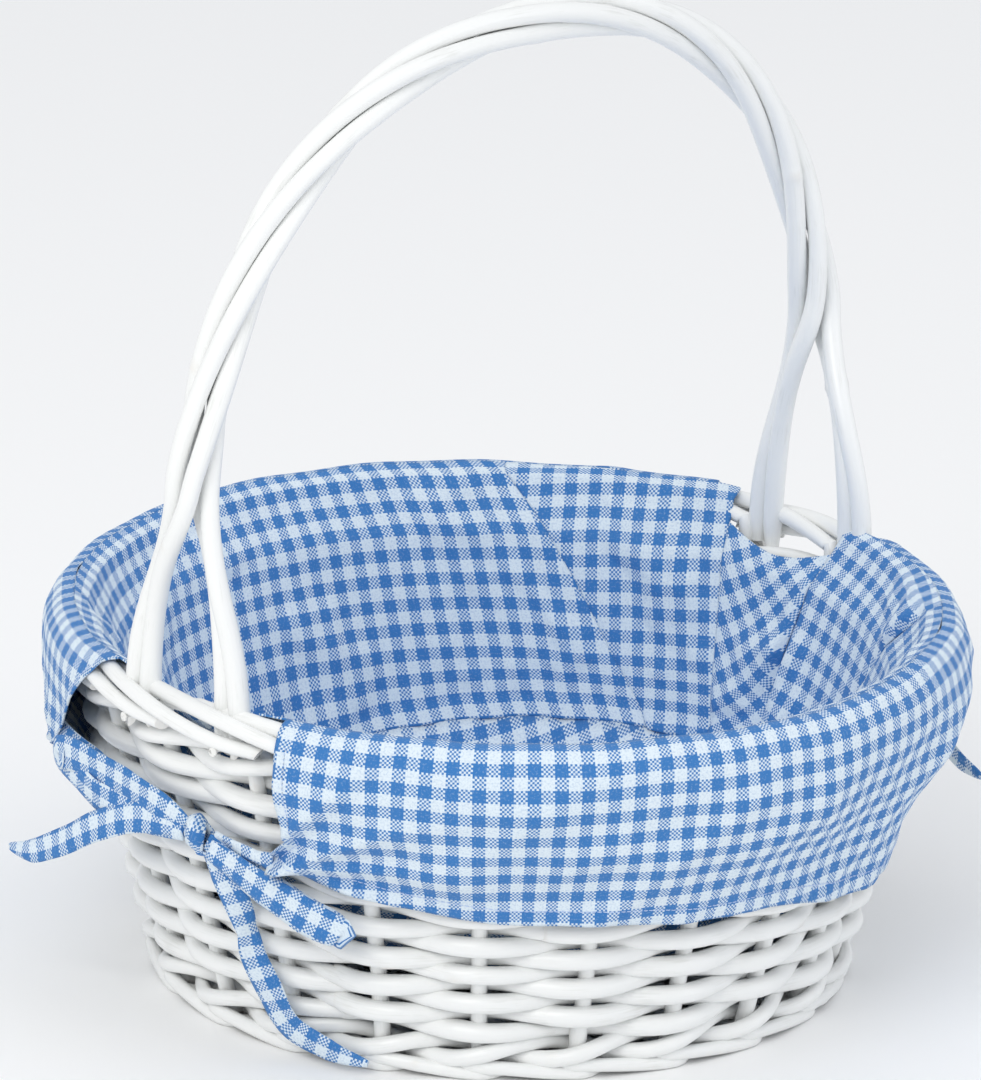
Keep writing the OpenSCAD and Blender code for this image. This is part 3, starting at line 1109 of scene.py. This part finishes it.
class ClothMaker:
    """Makes pieces of cloth, each with its flat layout in metres."""

    THICK = 0.7

    @classmethod
    def thicken(cls, obj: bpy.types.Object) -> None:
        """Gives a sheet its thickness, half to each side."""
        apply_modifier(obj, "SOLIDIFY", thickness=cls.THICK * MM, offset=0.0)

    @staticmethod
    def area(obj: bpy.types.Object) -> float:
        """Gives the area of a thickened sheet, in square metres."""
        return sum(p.area for p in obj.data.polygons) / 2

    @classmethod
    def panel(
        cls,
        name: str,
        place: Callable[[float, float], Array],
        flat: Callable[[float, float], tuple[float, float]],
        across: int,
        down: int,
        turn_over: bool = False,
    ) -> bpy.types.Object:
        """Makes a panel as a grid.

        Args:
            name: The piece's name.
            place: Gives the point at two shares of the way across and down.
            flat: Gives the place on the flat cloth, in millimetres.
            across: Number of faces across.
            down: Number of faces down.
            turn_over: Whether the faces' order is turned over.

        Returns:
            The panel.
        """
        us, vs = np.linspace(0, 1, across + 1), np.linspace(0, 1, down + 1)
        verts = np.array([place(u, v) for v in vs for u in us])
        laid = np.array([flat(u, v) for v in vs for u in us]) * MM
        faces, uvs = [], []
        for j in range(down):
            for i in range(across):
                a = j * (across + 1) + i
                quad = [a, a + 1, a + across + 2, a + across + 1]
                quad = quad[::-1] if turn_over else quad
                faces.append(tuple(quad))
                uvs += [tuple(laid[q]) for q in quad]
        obj = mesh_piece(name, verts, faces, np.array(uvs))
        cls.thicken(obj)
        return obj

    @staticmethod
    def band(name: str, verts: list[Array], laid: list[tuple[float, float]], k: int) -> bpy.types.Object:
        """Makes a closed band from rings of points.

        Args:
            name: The piece's name.
            verts: The points, ring after ring, in millimetres.
            laid: Each point's place on the flat cloth, in metres.
            k: The number of points in a ring.

        Returns:
            The band, closed at both ends, with its faces outwards.
        """
        last = len(verts) // k - 1
        faces = []
        for i in range(last):
            for j in range(k):
                after = (j + 1) % k
                faces.append((i * k + j, (i + 1) * k + j, (i + 1) * k + after, i * k + after))
        faces += [tuple(range(k)), tuple(last * k + j for j in range(k - 1, -1, -1))]
        uvs = [laid[q] for face in faces for q in face]
        obj = mesh_piece(name, np.array(verts), faces, np.array(uvs))
        pick(obj)
        bpy.ops.object.mode_set(mode="EDIT")
        bpy.ops.mesh.select_all(action="SELECT")
        bpy.ops.mesh.normals_make_consistent(inside=False)
        bpy.ops.object.mode_set(mode="OBJECT")
        return obj


@dataclass
class Crest:
    """The line over the rim where the liner and the skirts are sewn together."""

    wicker: Wicker = WICKER

    def point(self, degrees: float) -> tuple[float, float]:
        """Places the seam.

        Args:
            degrees: The angle round the basket.

        Returns:
            The seam's radius and height.
        """
        a, w = math.radians(degrees), self.wicker
        lump = 0.5 * math.cos(w.stakes * a + 0.6) + 0.5 * math.sin(5 * a + 1) + 0.4 * math.sin(9 * a)
        return w.border_r - 0.5 + 0.5 * math.sin(7 * a), w.rim_z + 9.6 + 0.55 * lump


@dataclass(frozen=True)
class Panel:
    """One panel of the lining's wall.

    Attributes:
        name: Its name.
        low: The angle of its first edge at the crest and at the floor.
        high: The angle of its last edge at the crest and at the floor.
        seed: Seeds its creases.
        bias: How far its grain is turned, in degrees.
    """

    name: str
    low: tuple[float, float]
    high: tuple[float, float]
    seed: int
    bias: float

    @property
    def wide(self) -> float:
        """Angle over its wider end."""
        return max(self.high[0] - self.low[0], self.high[1] - self.low[1])

    @property
    def behind_handle(self) -> bool:
        """Whether it is cut on the bias and starts below the handle's feet."""
        return abs(self.bias) > 20

    @property
    def node(self) -> str:
        """The solid that it stands for."""
        for part in ("gusset", "handle_panel"):
            if part in self.name:
                return f"liner_{part}s"
        return self.name.removesuffix("_cloth")

    def angle(self, u: float, v: float) -> float:
        """Gives the angle at a place on the panel.

        Args:
            u: Share of the way across.
            v: Share of the way down the wall.

        Returns:
            The angle round the basket.
        """
        k = min(max((v - 0.08) / 0.92, 0), 1)
        (low_top, low_end), (high_top, high_end) = self.low, self.high
        a0, a1 = low_top + (low_end - low_top) * k, high_top + (high_end - high_top) * k
        return a0 + (a1 - a0) * u


@dataclass
class Liner:
    """The lining: two long panels, four gussets and two bias-cut panels, sewn to a round floor.

    Attributes:
        wicker: The shared sizes.
        floor_z: Height of the floor's middle.
        gusset: Angle from the handle to a gusset's near edge, at the crest and at the floor.
        panel: Angle from the handle to a long panel's edge, at the crest and at the floor.
        length: Length of the wall from crest to floor.
        notch_start: Share of that length at which the panels behind the handle start.
        scallop: Share by which their upper edge dips in the middle.
        floor_grain: How far the floor's check is turned, in radians.
        crest: The seam over the rim.
    """

    wicker: Wicker = WICKER
    floor_z: float = 17.0
    gusset: tuple[float, float] = (10.5, 5.0)
    panel: tuple[float, float] = (44.5, 17.5)
    length: float = 100.0
    notch_start: float = 0.17
    scallop: float = 0.07
    floor_grain: float = 0.55
    crest: Crest = field(default_factory=Crest)

    def edge_z(self, degrees: float) -> float:
        """Gives the height at which the lining's wall meets its floor, which hangs loose."""
        return 43.5 + 5.0 * math.cos(2 * math.radians(degrees - 22))

    def profile(self, v: float, degrees: float) -> tuple[float, float]:
        """Gives a place on the lining's section.

        Args:
            v: From 0 at the crest to 1 at the floor.
            degrees: The angle round the basket.

        Returns:
            The radius and the height.
        """
        w, low = self.wicker, self.edge_z(degrees)
        r0, z0 = self.crest.point(degrees)
        inner = w.border_r - w.wind_r - w.rod_d / 2 - 1.0
        r_low = w.stake_r(low + 6) - w.weave_out - w.rod_d / 2 - 1.8
        points = (
            (r0, z0),
            (inner + 3.2, w.rim_z + 7.0),
            (inner - 0.4, w.rim_z + 0.5),
            (w.stake_r(w.rim_z - 12) - 11.0, w.rim_z - 12),
            (w.stake_r(72) - 11.4, 72.0),
            (r_low - 0.2, low + 8),
            (r_low - 4.0, low + 0.8),
        )
        knots = (0, 0.085, 0.16, 0.31, 0.725, 0.92, 1.0)
        i = min(max(int(np.searchsorted(knots, v, side="right")) - 1, 0), 5)
        share = (v - knots[i]) / (knots[i + 1] - knots[i])
        (r1, z1), (r2, z2) = points[i], points[i + 1]
        return r1 + (r2 - r1) * share, z1 + (z2 - z1) * share

    def wall(self, panel: Panel) -> bpy.types.Object:
        """Makes one panel of the wall.

        Args:
            panel: Where it is and how it is cut.

        Returns:
            The panel.
        """
        creases = Creases(panel.seed, 3.2 if panel.name.startswith("liner_panel") else 4.4, shortest=14)
        middle = (panel.low[0] + panel.high[0]) / 2
        start = self.notch_start if panel.behind_handle else 0.0

        def lay(a: float, v: float) -> tuple[float, float, float, float]:
            """Gives the radius, the height and the place on the flat cloth."""
            r, z = self.profile(v, a)
            return r, z, (a - middle) * math.pi / 180 * r, v * self.length

        def spot(u: float, v: float) -> Array:
            """Gives the point at two shares of the way across and down."""
            if start:
                v = start + self.scallop * math.sin(math.pi * u) * (1 - v) + (1 - start) * v
            a = panel.angle(u, v)
            r, z, x, y = lay(a, v)
            seam = math.exp(-((min(u, 1 - u) * (panel.high[0] - panel.low[0]) * 2.5 / 3.2) ** 2))
            rise = (creases.at(x, y) + 1.3) * ease(v / 0.15) * (1 - 0.6 * ease((v - 0.93) / 0.07))
            deep = max(rise, 0) * (1 - 0.8 * seam) - 0.7 * seam * ease(v / 0.1)
            pucker = 0.9 * ease((v - 0.72) / 0.25) * math.sin(math.radians(a * 26 + 40 * math.sin(a / 9)))
            return polar(r - deep - max(pucker, -0.3) * (1 - seam), a, z)

        def flat(u: float, v: float) -> tuple[float, float]:
            """Gives the place on the flat cloth, turned by the bias."""
            if start:
                v = start + (1 - start) * v
            _, _, x, y = lay(panel.angle(u, v), v)
            c, s = math.cos(math.radians(panel.bias)), math.sin(math.radians(panel.bias))
            return c * x - s * y, s * x + c * y

        return ClothMaker.panel(panel.name, spot, flat, max(int(panel.wide * 2.0), 24), 84)

    def floor(self) -> bpy.types.Object:
        """Makes the round floor of the lining from a disc of rings."""
        creases = Creases(11, 2.4, longest=120)
        w = self.wicker
        verts, faces = [[0, 0, self.floor_z + 0.4]], []
        rings, around = 26, 120
        for i in range(1, rings + 1):
            share = i / rings
            for k in range(around):
                a = k * 360 / around
                rim = self.edge_z(a)
                edge = w.stake_r(rim + 6) - w.weave_out - w.rod_d / 2 - 5.8
                p = polar(edge * share, a, 0)
                lift = max(creases.at(p[0], p[1]) + 0.6, 0) * (1 - ease((share - 0.85) / 0.15))
                p[2] = self.floor_z + 0.3 + lift + (rim + 0.5 - self.floor_z) * share**3.6
                verts.append(p)
        verts = np.array(verts)
        for k in range(around):
            faces.append((0, 1 + k, 1 + (k + 1) % around))
        for i in range(rings - 1):
            for k in range(around):
                a, b = 1 + i * around + k, 1 + i * around + (k + 1) % around
                faces.append((a, a + around, b + around, b))
        c, s = math.cos(self.floor_grain), math.sin(self.floor_grain)
        laid = [((c * x - s * y) * MM, (s * x + c * y) * MM) for x, y, _ in verts]
        uvs = [laid[q] for face in faces for q in face]
        obj = mesh_piece("liner_floor_cloth", verts, faces, np.array(uvs))
        ClothMaker.thicken(obj)
        return obj

    def panels(self) -> list[Panel]:
        """Lists the panels of the wall."""
        (g_top, g_low), (p_top, p_low) = self.gusset, self.panel
        out = []
        for side, word, end in ((0.0, "back", "east"), (180.0, "front", "west")):
            after, panel_from = (side + g_top, side + g_low), (side + p_top, side + p_low)
            before, panel_to = (side - g_top, side - g_low), (side + 180 - p_top, side + 180 - p_low)
            out += [
                Panel(f"liner_panel_{word}_cloth", panel_from, panel_to, 20 + int(side), 0.0),
                Panel(f"liner_gusset_{end}_1", after, panel_from, 31, -6.0),
                Panel(f"liner_gusset_{end}_2", (side - p_top, side - p_low), before, 32, 6.0),
                Panel(f"liner_handle_panel_{end}", before, after, 33, 45.0),
            ]
        return out

    def build(self, cotton: bpy.types.Material) -> None:
        """Args:
            cotton: The cloth's material.
        """
        wall_r = 130
        for panel in self.panels():
            obj = self.wall(panel)
            finish_piece(obj, cotton, Slot.COTTON, [panel.node])
            width = math.radians(panel.wide) * wall_r * MM
            length = 0.08 if panel.behind_handle else 0.1
            LOG.info("%s covers %.4f m2 of %.3f x %.3f m", panel.name, ClothMaker.area(obj), width, length)
        floor = self.floor()
        finish_piece(floor, cotton, Slot.COTTON, ["liner_floor"])
        LOG.info("liner: eight panels and a floor")


@dataclass(frozen=True)
class Gather:
    """The folds that fan out from a drawn-up corner of a skirt.

    Attributes:
        degrees: The corner's angle.
        height: The corner's height.
        size: How far the largest fold stands out.
        rays: Each fold's slope in degrees and its share of the size.
    """

    degrees: float
    height: float
    size: float
    rays: tuple[tuple[float, float], ...]

    def at(self, degrees: float, height: float) -> float:
        """Sums the folds at a place.

        Args:
            degrees: The angle round the basket.
            height: The height that the cloth would have if it hung straight.

        Returns:
            How far the folds stand out there.
        """
        dx = abs(degrees - self.degrees) * math.pi / 180 * 155
        dy = height - self.height
        far = math.hypot(dx, dy)
        wide = 1.8 + 0.075 * far
        total = 0.0
        for slope, share in self.rays:
            off = dy - math.tan(math.radians(slope)) * dx - 3 * math.sin(dx / 17 + slope)
            ridge = math.exp(-abs(off / wide) ** 1.5) - 0.45 * math.exp(-(((off + 1.7 * wide) / wide) ** 2))
            total += self.size * share * ridge * math.exp(-far / 62) * (1 - math.exp(-far / 6))
        return total


@dataclass
class Skirt:
    """A skirt that rolls over the rim and hangs outside, its lower corners drawn up to the ties.

    Attributes:
        turn: The angle that brings the back skirt to its place.
        wicker: The shared sizes.
        square_end: Angles of the straight-cut end at the crest, low down and at the hem.
        drawn_end: Angles of the drawn-up end at the crest and at the hem.
        hem: Share of the way along and height of the hem.
        flat_r: The radius at which the cloth is laid flat.
        hang_z: The height from which its length hangs straight.
        rays: Slope and share of the folds at the square end, then at the drawn-up end.
        crest: The seam over the rim.
    """

    turn: float
    wicker: Wicker = WICKER
    square_end: tuple[float, float, float] = (14.7, 16.3, 11.5)
    drawn_end: tuple[float, float] = (163.5, 149.0)
    hem: tuple[tuple[float, float], ...] = (
        (0.0, 83), (0.04, 77), (0.12, 70), (0.25, 66), (0.4, 64), (0.55, 60),
        (0.68, 53), (0.8, 47), (0.88, 50), (0.94, 68), (1.0, 95),
    )
    flat_r: float = 158.0
    hang_z: float = 147.0
    rays: tuple[tuple[tuple[float, float], ...], ...] = (
        ((6, 1.0), (-12, 0.6), (24, 0.75), (-38, 0.4), (52, 0.5)),
        ((-4, 0.9), (-25, 1.0), (18, 0.8), (-50, 0.7), (40, 0.6)),
    )
    crest: Crest = field(default_factory=Crest)

    def outline(self, degrees: float) -> Array:
        """Gives the skirt's section at an angle, as radius and height from the crest down."""
        r0, z0 = self.crest.point(degrees + self.turn)
        w = self.wicker
        out = w.border_r + w.wind_r + w.rod_d / 2
        points = [
            [r0, z0],
            [r0 + 4.6, z0 - 1.2],
            [out - 1.0, w.rim_z + 4.6],
            [out + 1.3, w.rim_z - 1.0],
            [out + 2.2, w.rim_z - 13],
            [out - 0.8, 98],
        ]
        points += [[w.skin_r(z) + gap, z] for z, gap in ((84, 5.5), (70, 3.0), (58, 2.2), (40, 2.2))]
        return np.array(points)

    def section(self, degrees: float) -> tuple[Array, Array]:
        """Gives the fine section at an angle, with the distance down it."""
        line = through(self.outline(degrees), 80)
        return line, distance_along(line)

    def hem_z(self, u: float) -> float:
        """Gives the hem's height at a share of the way along."""
        xs, zs = zip(*self.hem)
        near = [np.interp(u + d, xs, zs) for d in (-0.03, -0.015, 0, 0.015, 0.03)]
        return float(np.mean(near)) + 0.7 * math.sin(31 * u + self.turn)

    def angle(self, u: float, v: float) -> float:
        """Gives the angle at a share of the way along and down."""
        first = float(np.interp(v, (0, 0.78, 1), self.square_end))
        last = self.drawn_end[0] + (self.drawn_end[1] - self.drawn_end[0]) * v**1.1
        return first + (last - first) * u

    def build(self, name: str, cotton: bpy.types.Material, thread: bpy.types.Material) -> None:
        """Args:
            name: The solid that it stands for.
            cotton: The cloth's material.
            thread: The hem stitches' material.
        """
        creases = Creases(41 + int(self.turn), 3.2, longest=110, shortest=18)
        middle = (self.square_end[0] + self.drawn_end[0]) / 2
        gathers = (
            Gather(self.square_end[2], 83, 8.0, self.rays[0]),
            Gather(self.drawn_end[1], 95, 4.5, self.rays[1]),
        )
        cache: dict[float, tuple[Array, Array]] = {}

        def down(u: float, v: float) -> tuple[float, float, float, float]:
            """Gives the angle, the radius, the height and the distance down from the crest."""
            a = self.angle(u, v)
            key = round(a, 2)
            if key not in cache:
                cache[key] = self.section(key)
            line, at = cache[key]
            end = float(np.interp(-self.hem_z(u), -line[:, 1], at))
            s = end * v
            return a, float(np.interp(s, at, line[:, 0])), float(np.interp(s, at, line[:, 1])), s

        def fold(u: float, v: float, a: float, s: float) -> float:
            """Gives how far the cloth stands out from its plain section."""
            x = (a - middle) * math.pi / 180 * self.flat_r
            total = (creases.at(x, s) + 0.6) * ease((s - 10) / 30)
            for gather in gathers:
                total += gather.at(a, self.hang_z - s)
            turned = 0.45 * ease((0.0085 - min(u, 1 - u)) / 0.001) * (v > 0.1)
            return total + (0.55 * ease((v - 0.935) / 0.01) + turned)

        def spot(u: float, v: float) -> Array:
            """Gives the point at two shares of the way along and down."""
            a, r, z, s = down(u, v)
            out = fold(u, v, a, s)
            skin = self.wicker.skin_r(z) + 1.0
            return polar(max(r + out, skin) if z < 108 else r + out, a + self.turn, z)

        def flat(u: float, v: float) -> tuple[float, float]:
            """Gives the place on the flat cloth."""
            a, _, _, s = down(u, v)
            return (a - middle) * math.pi / 180 * self.flat_r, s

        obj = ClothMaker.panel(f"{name}_cloth", spot, flat, 330, 66, turn_over=True)
        finish_piece(obj, cotton, Slot.COTTON, [name])
        LOG.info("%s covers %.4f m2", name, ClothMaker.area(obj))
        self.stitch(f"{name}_stitches", spot, thread)

    def stitch(self, name: str, spot: Callable[[float, float], Array], thread: bpy.types.Material) -> None:
        """Sews the hems with short stitches.

        Args:
            name: The piece's name.
            spot: Gives the cloth's point at two shares of the way along and down.
            thread: The stitches' material.
        """
        maker = RodMaker(95, sides=6)
        stitch = (0.12, 0.5, 0.86)
        lines = [[((i + d) / 170, 0.925) for d in stitch] for i in range(2, 168)]
        for u in (0.0095, 0.9905):
            lines += [[(u, (i + d) / 38) for d in stitch] for i in range(7, 35)]
        for line in lines:
            ends = [spot(u, v) for u, v in line]
            for point, lift in zip(ends, (0.35, 0.62, 0.35)):
                scale = 1 + lift / math.hypot(point[0], point[1])
                point[:2] *= scale
            radius, side = np.array([0.16, 0.22, 0.16]), np.array([0.3, 0.2, 1.0])
            maker.add(Rod(np.array(ends), radius, side, slant=0.0))
        finish_piece(maker.make(name), thread, Slot.COTTON, [])


def round_basket(route: Sequence[Sequence[float]], turn: float, count: int) -> Array:
    """Runs a smooth path round the basket, close to its weaving.

    Args:
        route: Points as angle, distance out from the weaving, and height.
        turn: The angle that brings the east bow to its place.
        count: How many points to give back.

    Returns:
        The path's points.
    """
    return through([polar(WICKER.skin_r(z) + 2.5 + out, a + turn, z) for a, out, z in route], count)


@dataclass
class Ribbon:
    """A folded and pressed ribbon of the same cloth.

    Attributes:
        route: Points as angle, distance out from the weaving, and height.
        width: The width at each point of the route.
        lean: How far its face is turned at each point, in degrees.
        thick: Its thickness over all its layers.
    """

    route: Sequence[Sequence[float]]
    width: Sequence[float]
    lean: Sequence[float]
    thick: float = 1.5

    def place(self, turn: float) -> tuple[Array, Array, Array]:
        """Lays the route out round the basket.

        Args:
            turn: The angle that brings the east bow to its place.

        Returns:
            The path, the width and the lean along it.
        """
        count = 14 * len(self.route)
        share, knots = np.linspace(0, 1, count), np.linspace(0, 1, len(self.width))
        width, lean = np.interp(share, knots, self.width), np.interp(share, knots, self.lean)
        return round_basket(self.route, turn, count), width, lean

    def make(self, name: str, turn: float, seed: int) -> tuple[bpy.types.Object, float]:
        """Makes the ribbon.

        Args:
            name: The piece's name.
            turn: The angle that brings the east bow to its place.
            seed: Seeds its small puckers.

        Returns:
            The piece and its length in metres.
        """
        path, width, lean = self.place(turn)
        phase = random.Random(seed).uniform(0, 6.28)
        n = len(path)
        along = unit(np.gradient(path, axis=0))
        out = unit(np.stack([path[:, 0], path[:, 1], np.zeros(n)], 1))
        across = unit(np.cross(along, out))
        face = np.cross(across, along)
        c, s = np.cos(np.radians(lean))[:, None], np.sin(np.radians(lean))[:, None]
        across, face = c * across + s * face, c * face - s * across
        half = 7
        profile = []
        for i in range(2 * half):
            t = -1 + 2 * (i if i < half else 2 * half - 1 - i) / (half - 1)
            profile.append((t, 1 if i < half else -1))
        verts, laid = [], []
        at = distance_along(path)
        for i in range(n):
            curl = 0.35 * math.sin(at[i] / 6.5 + phase) + 0.25 * math.sin(at[i] / 2.9 + 2 * phase)
            for t, side in profile:
                rim = math.sqrt(max(1 - abs(t) ** 6, 0.02))
                crown = 0.5 * curl * math.cos(2.2 * t + phase) + 0.35 * math.sin(at[i] / 4 + 3 * t)
                lift = side * rim * self.thick / 2 + crown * 0.8
                verts.append(path[i] + across[i] * t * width[i] / 2 + face[i] * lift)
                laid.append(((t * width[i] / 2 + side * 2.25 + 30) * MM, at[i] * MM))
        return ClothMaker.band(name, verts, laid, len(profile)), float(at[-1]) * MM


@dataclass
class Bow:
    """The tie at one end of the handle: two straps, a knot, two loops and two tails."""

    end: End

    def ribbons(self) -> dict[str, Ribbon]:
        """Gives each ribbon of the bow, as laid round the east end."""
        return {
            "strap_back": Ribbon(
                [[-31, 9.0, 95.5], [-25, 6.6, 94], [-20, 4.6, 92.8], [-12.5, 3.6, 90], [-6, 3, 86.2],
                 [-1.5, 2, 84.5]],
                [12, 11, 10, 10, 9, 6],
                [0, 10, 16, 10, 4, 0],
            ),
            "strap_front": Ribbon(
                [[13.4, 5, 82], [11, 4.4, 82.3], [8, 3.2, 83], [3.5, 2, 84]],
                [8, 6, 7, 6],
                [0, 15, 20, 0],
            ),
            "loop_high": Ribbon(
                [[-1, 3.5, 86], [-5, 4.8, 91], [-13, 6.5, 94.5], [-20, 11, 96.5], [-24, 14, 95],
                 [-22.5, 13, 91], [-17, 11, 85.5], [-10, 7.5, 83.5], [-1.5, 4.5, 83.6]],
                [7, 11, 13.5, 13.5, 12, 12, 13, 11, 7],
                [0, 0, 8, 4, 0, -4, -8, 0, 0],
            ),
            "loop_low": Ribbon(
                [[2.5, 3.5, 82.5], [6, 4, 78], [12, 5, 70.5], [18, 6, 64], [22, 7.2, 61],
                 [22.6, 9.2, 60.8], [18.5, 9.4, 65], [11.5, 8, 73], [3.5, 5.8, 81]],
                [7, 11, 13.5, 14, 12, 12, 13.5, 12.5, 8],
                [0, 6, 4, 0, 0, 0, -4, 3, 0],
            ),
            "tail_side": Ribbon(
                [[-1.5, 3.2, 84.8], [-4.5, 5.9, 85.5], [-10, 9.5, 83], [-16, 17, 74.5],
                 [-21, 24.5, 65], [-26, 32, 57], [-30.5, 37, 54]],
                [7, 10, 11.5, 11.5, 10.5, 8.5, 2.5],
                [0, -8, -14, -12, -8, -4, 0],
                1.3,
            ),
            "tail_down": Ribbon(
                [[2.2, 3, 80.5], [4.3, 3.6, 71], [5.8, 3.6, 62], [6.5, 2.6, 50], [6.8, 2.4, 40],
                 [8.5, 2, 27], [11.5, 1.6, 13.5], [17.8, 1.6, 7.5], [24, 2, 4.6]],
                [7, 11, 10.5, 7.5, 9.5, 11.5, 11, 8.5, 2.5],
                [0, 8, 20, 62, 25, 5, -5, -5, 0],
                1.3,
            ),
        }

    def knot(self, name: str) -> tuple[bpy.types.Object, float]:
        """Makes the knot as a ribbon wound once round the crossing, its face outwards.

        Args:
            name: The piece's name.

        Returns:
            The piece and its length in metres.
        """
        route = []
        for i in range(15):
            turn = math.radians(-100 + i * 28.5)
            sway = 0.8 + 0.5 * math.sin(2 * turn)
            route.append([sway, 2.6 + 3.8 * math.cos(turn), 84 + 6.2 * math.sin(turn)])
        path = round_basket(route, self.end.value, 90)
        along = unit(np.gradient(path, axis=0))
        face = path - path.mean(0)
        face = unit(face - (face * along).sum(1, keepdims=True) * along)
        across = np.cross(along, face)
        verts, laid = [], []
        at = distance_along(path)
        sides = 18
        for i in range(len(path)):
            for j in range(sides):
                t = 2 * math.pi * j / sides
                x = math.copysign(abs(math.cos(t)) ** 0.6, math.cos(t))
                pleat = 0.45 * math.cos(7 * x + at[i] / 5)
                spread = 4.3 + 0.7 * math.sin(at[i] / 4.1)
                lift = 1.3 * math.sin(t) + pleat - 1.2 * x**2
                verts.append(path[i] + across[i] * spread * x + face[i] * lift)
                laid.append(((spread * x + (4.5 if math.sin(t) < 0 else 0)) * MM, at[i] * MM))
        return ClothMaker.band(name, verts, laid, sides), float(at[-1]) * MM

    def build(self, cotton: bpy.types.Material) -> None:
        """Args:
            cotton: The cloth's material.
        """
        where = self.end.name.lower()
        for i, (part, ribbon) in enumerate(self.ribbons().items()):
            name = f"bow_{where}_{part}"
            obj, length = ribbon.make(f"{name}_ribbon", self.end.value, 60 + i)
            finish_piece(obj, cotton, Slot.COTTON, [name])
            width = max(round(sum(ribbon.width) / len(ribbon.width) * MM, 4), 0.01)
            LOG.info("%s is %.3f m long", name, length)
        obj, length = self.knot(f"bow_{where}_knot_ribbon")
        finish_piece(obj, cotton, Slot.COTTON, [f"bow_{where}_knot"])


# --------------------------------------------------------------------- studio


@dataclass
class Studio:
    """A pale floor, soft light from all round and a long lens from the north-west of the front."""

    distance: float = 3.569
    aim_z: float = 0.1577
    azimuth: float = -46.3
    elevation: float = 18.6
    roll: float = 1.5

    def build(self) -> None:
        """Makes the floor, the lights and the camera."""
        self.floor()
        self.lights()
        self.camera()
        LOG.info("studio: floor, lights and camera")

    def floor(self) -> None:
        """Lays a large pale floor."""
        deselect()
        bpy.ops.mesh.primitive_plane_add(size=12.0, location=(0, 0, 0))
        floor = bpy.context.object
        floor.name = "studio_floor"
        material, _, shader = new_material("matt_white_backdrop_paper")
        shader.inputs["Base Color"].default_value = linear("#FBFBFB")
        shader.inputs["Roughness"].default_value = 0.9
        floor.data.materials.append(material)

    def lights(self) -> None:
        """Hangs large soft lights and lights the room evenly."""
        world = bpy.data.worlds.new("studio")
        bpy.context.scene.world = world
        world.use_nodes = True
        sky = world.node_tree.nodes["Background"]
        sky.inputs["Color"].default_value = linear("#F7F9FC")
        sky.inputs["Strength"].default_value = 0.77
        for name, spot, size, power, tint in (
            ("key", (-2.2, -0.7, 1.9), 1.5, 25.0, "#FFFDF8"),
            ("top", (-0.2, -0.3, 2.6), 2.2, 8.0, "#FFFFFF"),
            ("fill", (1.2, -2.3, 1.1), 1.6, 7.0, "#F2F6FF"),
        ):
            data = bpy.data.lights.new(name, "AREA")
            data.size, data.energy, data.color = size, power, linear(tint)[:3]
            lamp = bpy.data.objects.new(name, data)
            lamp.location = spot
            lamp.rotation_mode = "QUATERNION"
            lamp.rotation_quaternion = (Vector((0, 0, 0.15)) - Vector(spot)).to_track_quat("-Z", "Y")
            bpy.context.scene.collection.objects.link(lamp)

    def camera(self) -> None:
        """Sets the camera at the basket's front, a little above the rim."""
        data = bpy.data.cameras.new("camera")
        data.lens, data.sensor_width = 336.6, 36.0
        data.shift_x, data.shift_y = -0.01735, -0.0039
        data.clip_start, data.clip_end = 0.1, 50.0
        camera = bpy.data.objects.new("camera", data)
        a, e = math.radians(self.azimuth), math.radians(self.elevation)
        back = Vector((math.sin(a) * math.cos(e), -math.cos(a) * math.cos(e), math.sin(e)))
        camera.location = Vector((0, 0, self.aim_z)) + back * self.distance
        camera.rotation_mode = "QUATERNION"
        level = (-back).to_track_quat("-Z", "Y")
        camera.rotation_quaternion = level @ Quaternion((0, 0, 1), math.radians(self.roll))
        bpy.context.scene.collection.objects.link(camera)
        bpy.context.scene.camera = camera
        bpy.context.scene.view_settings.view_transform = "Standard"


def main() -> None:
    """Builds the basket, its liner and the studio."""
    logging.basicConfig(level=logging.INFO, format="%(name)s: %(message)s")
    willow, cotton = PaintedWillow().make(), GinghamCotton().make()
    steel, thread = PaintedSteel().make(), SewingThread().make()
    Studio().build()
    Base().build(willow)
    Stakes().build(willow)
    SideWeave().build(willow)
    Pairing().build(willow)
    Border().build(willow)
    Handle().build(willow, steel)
    Liner().build(cotton)
    Skirt(turn=180.0).build("skirt_front", cotton, thread)
    Skirt(turn=0.0).build("skirt_back", cotton, thread)
    for end in End:
        Bow(end).build(cotton)


if __name__ == "__main__":
    main()
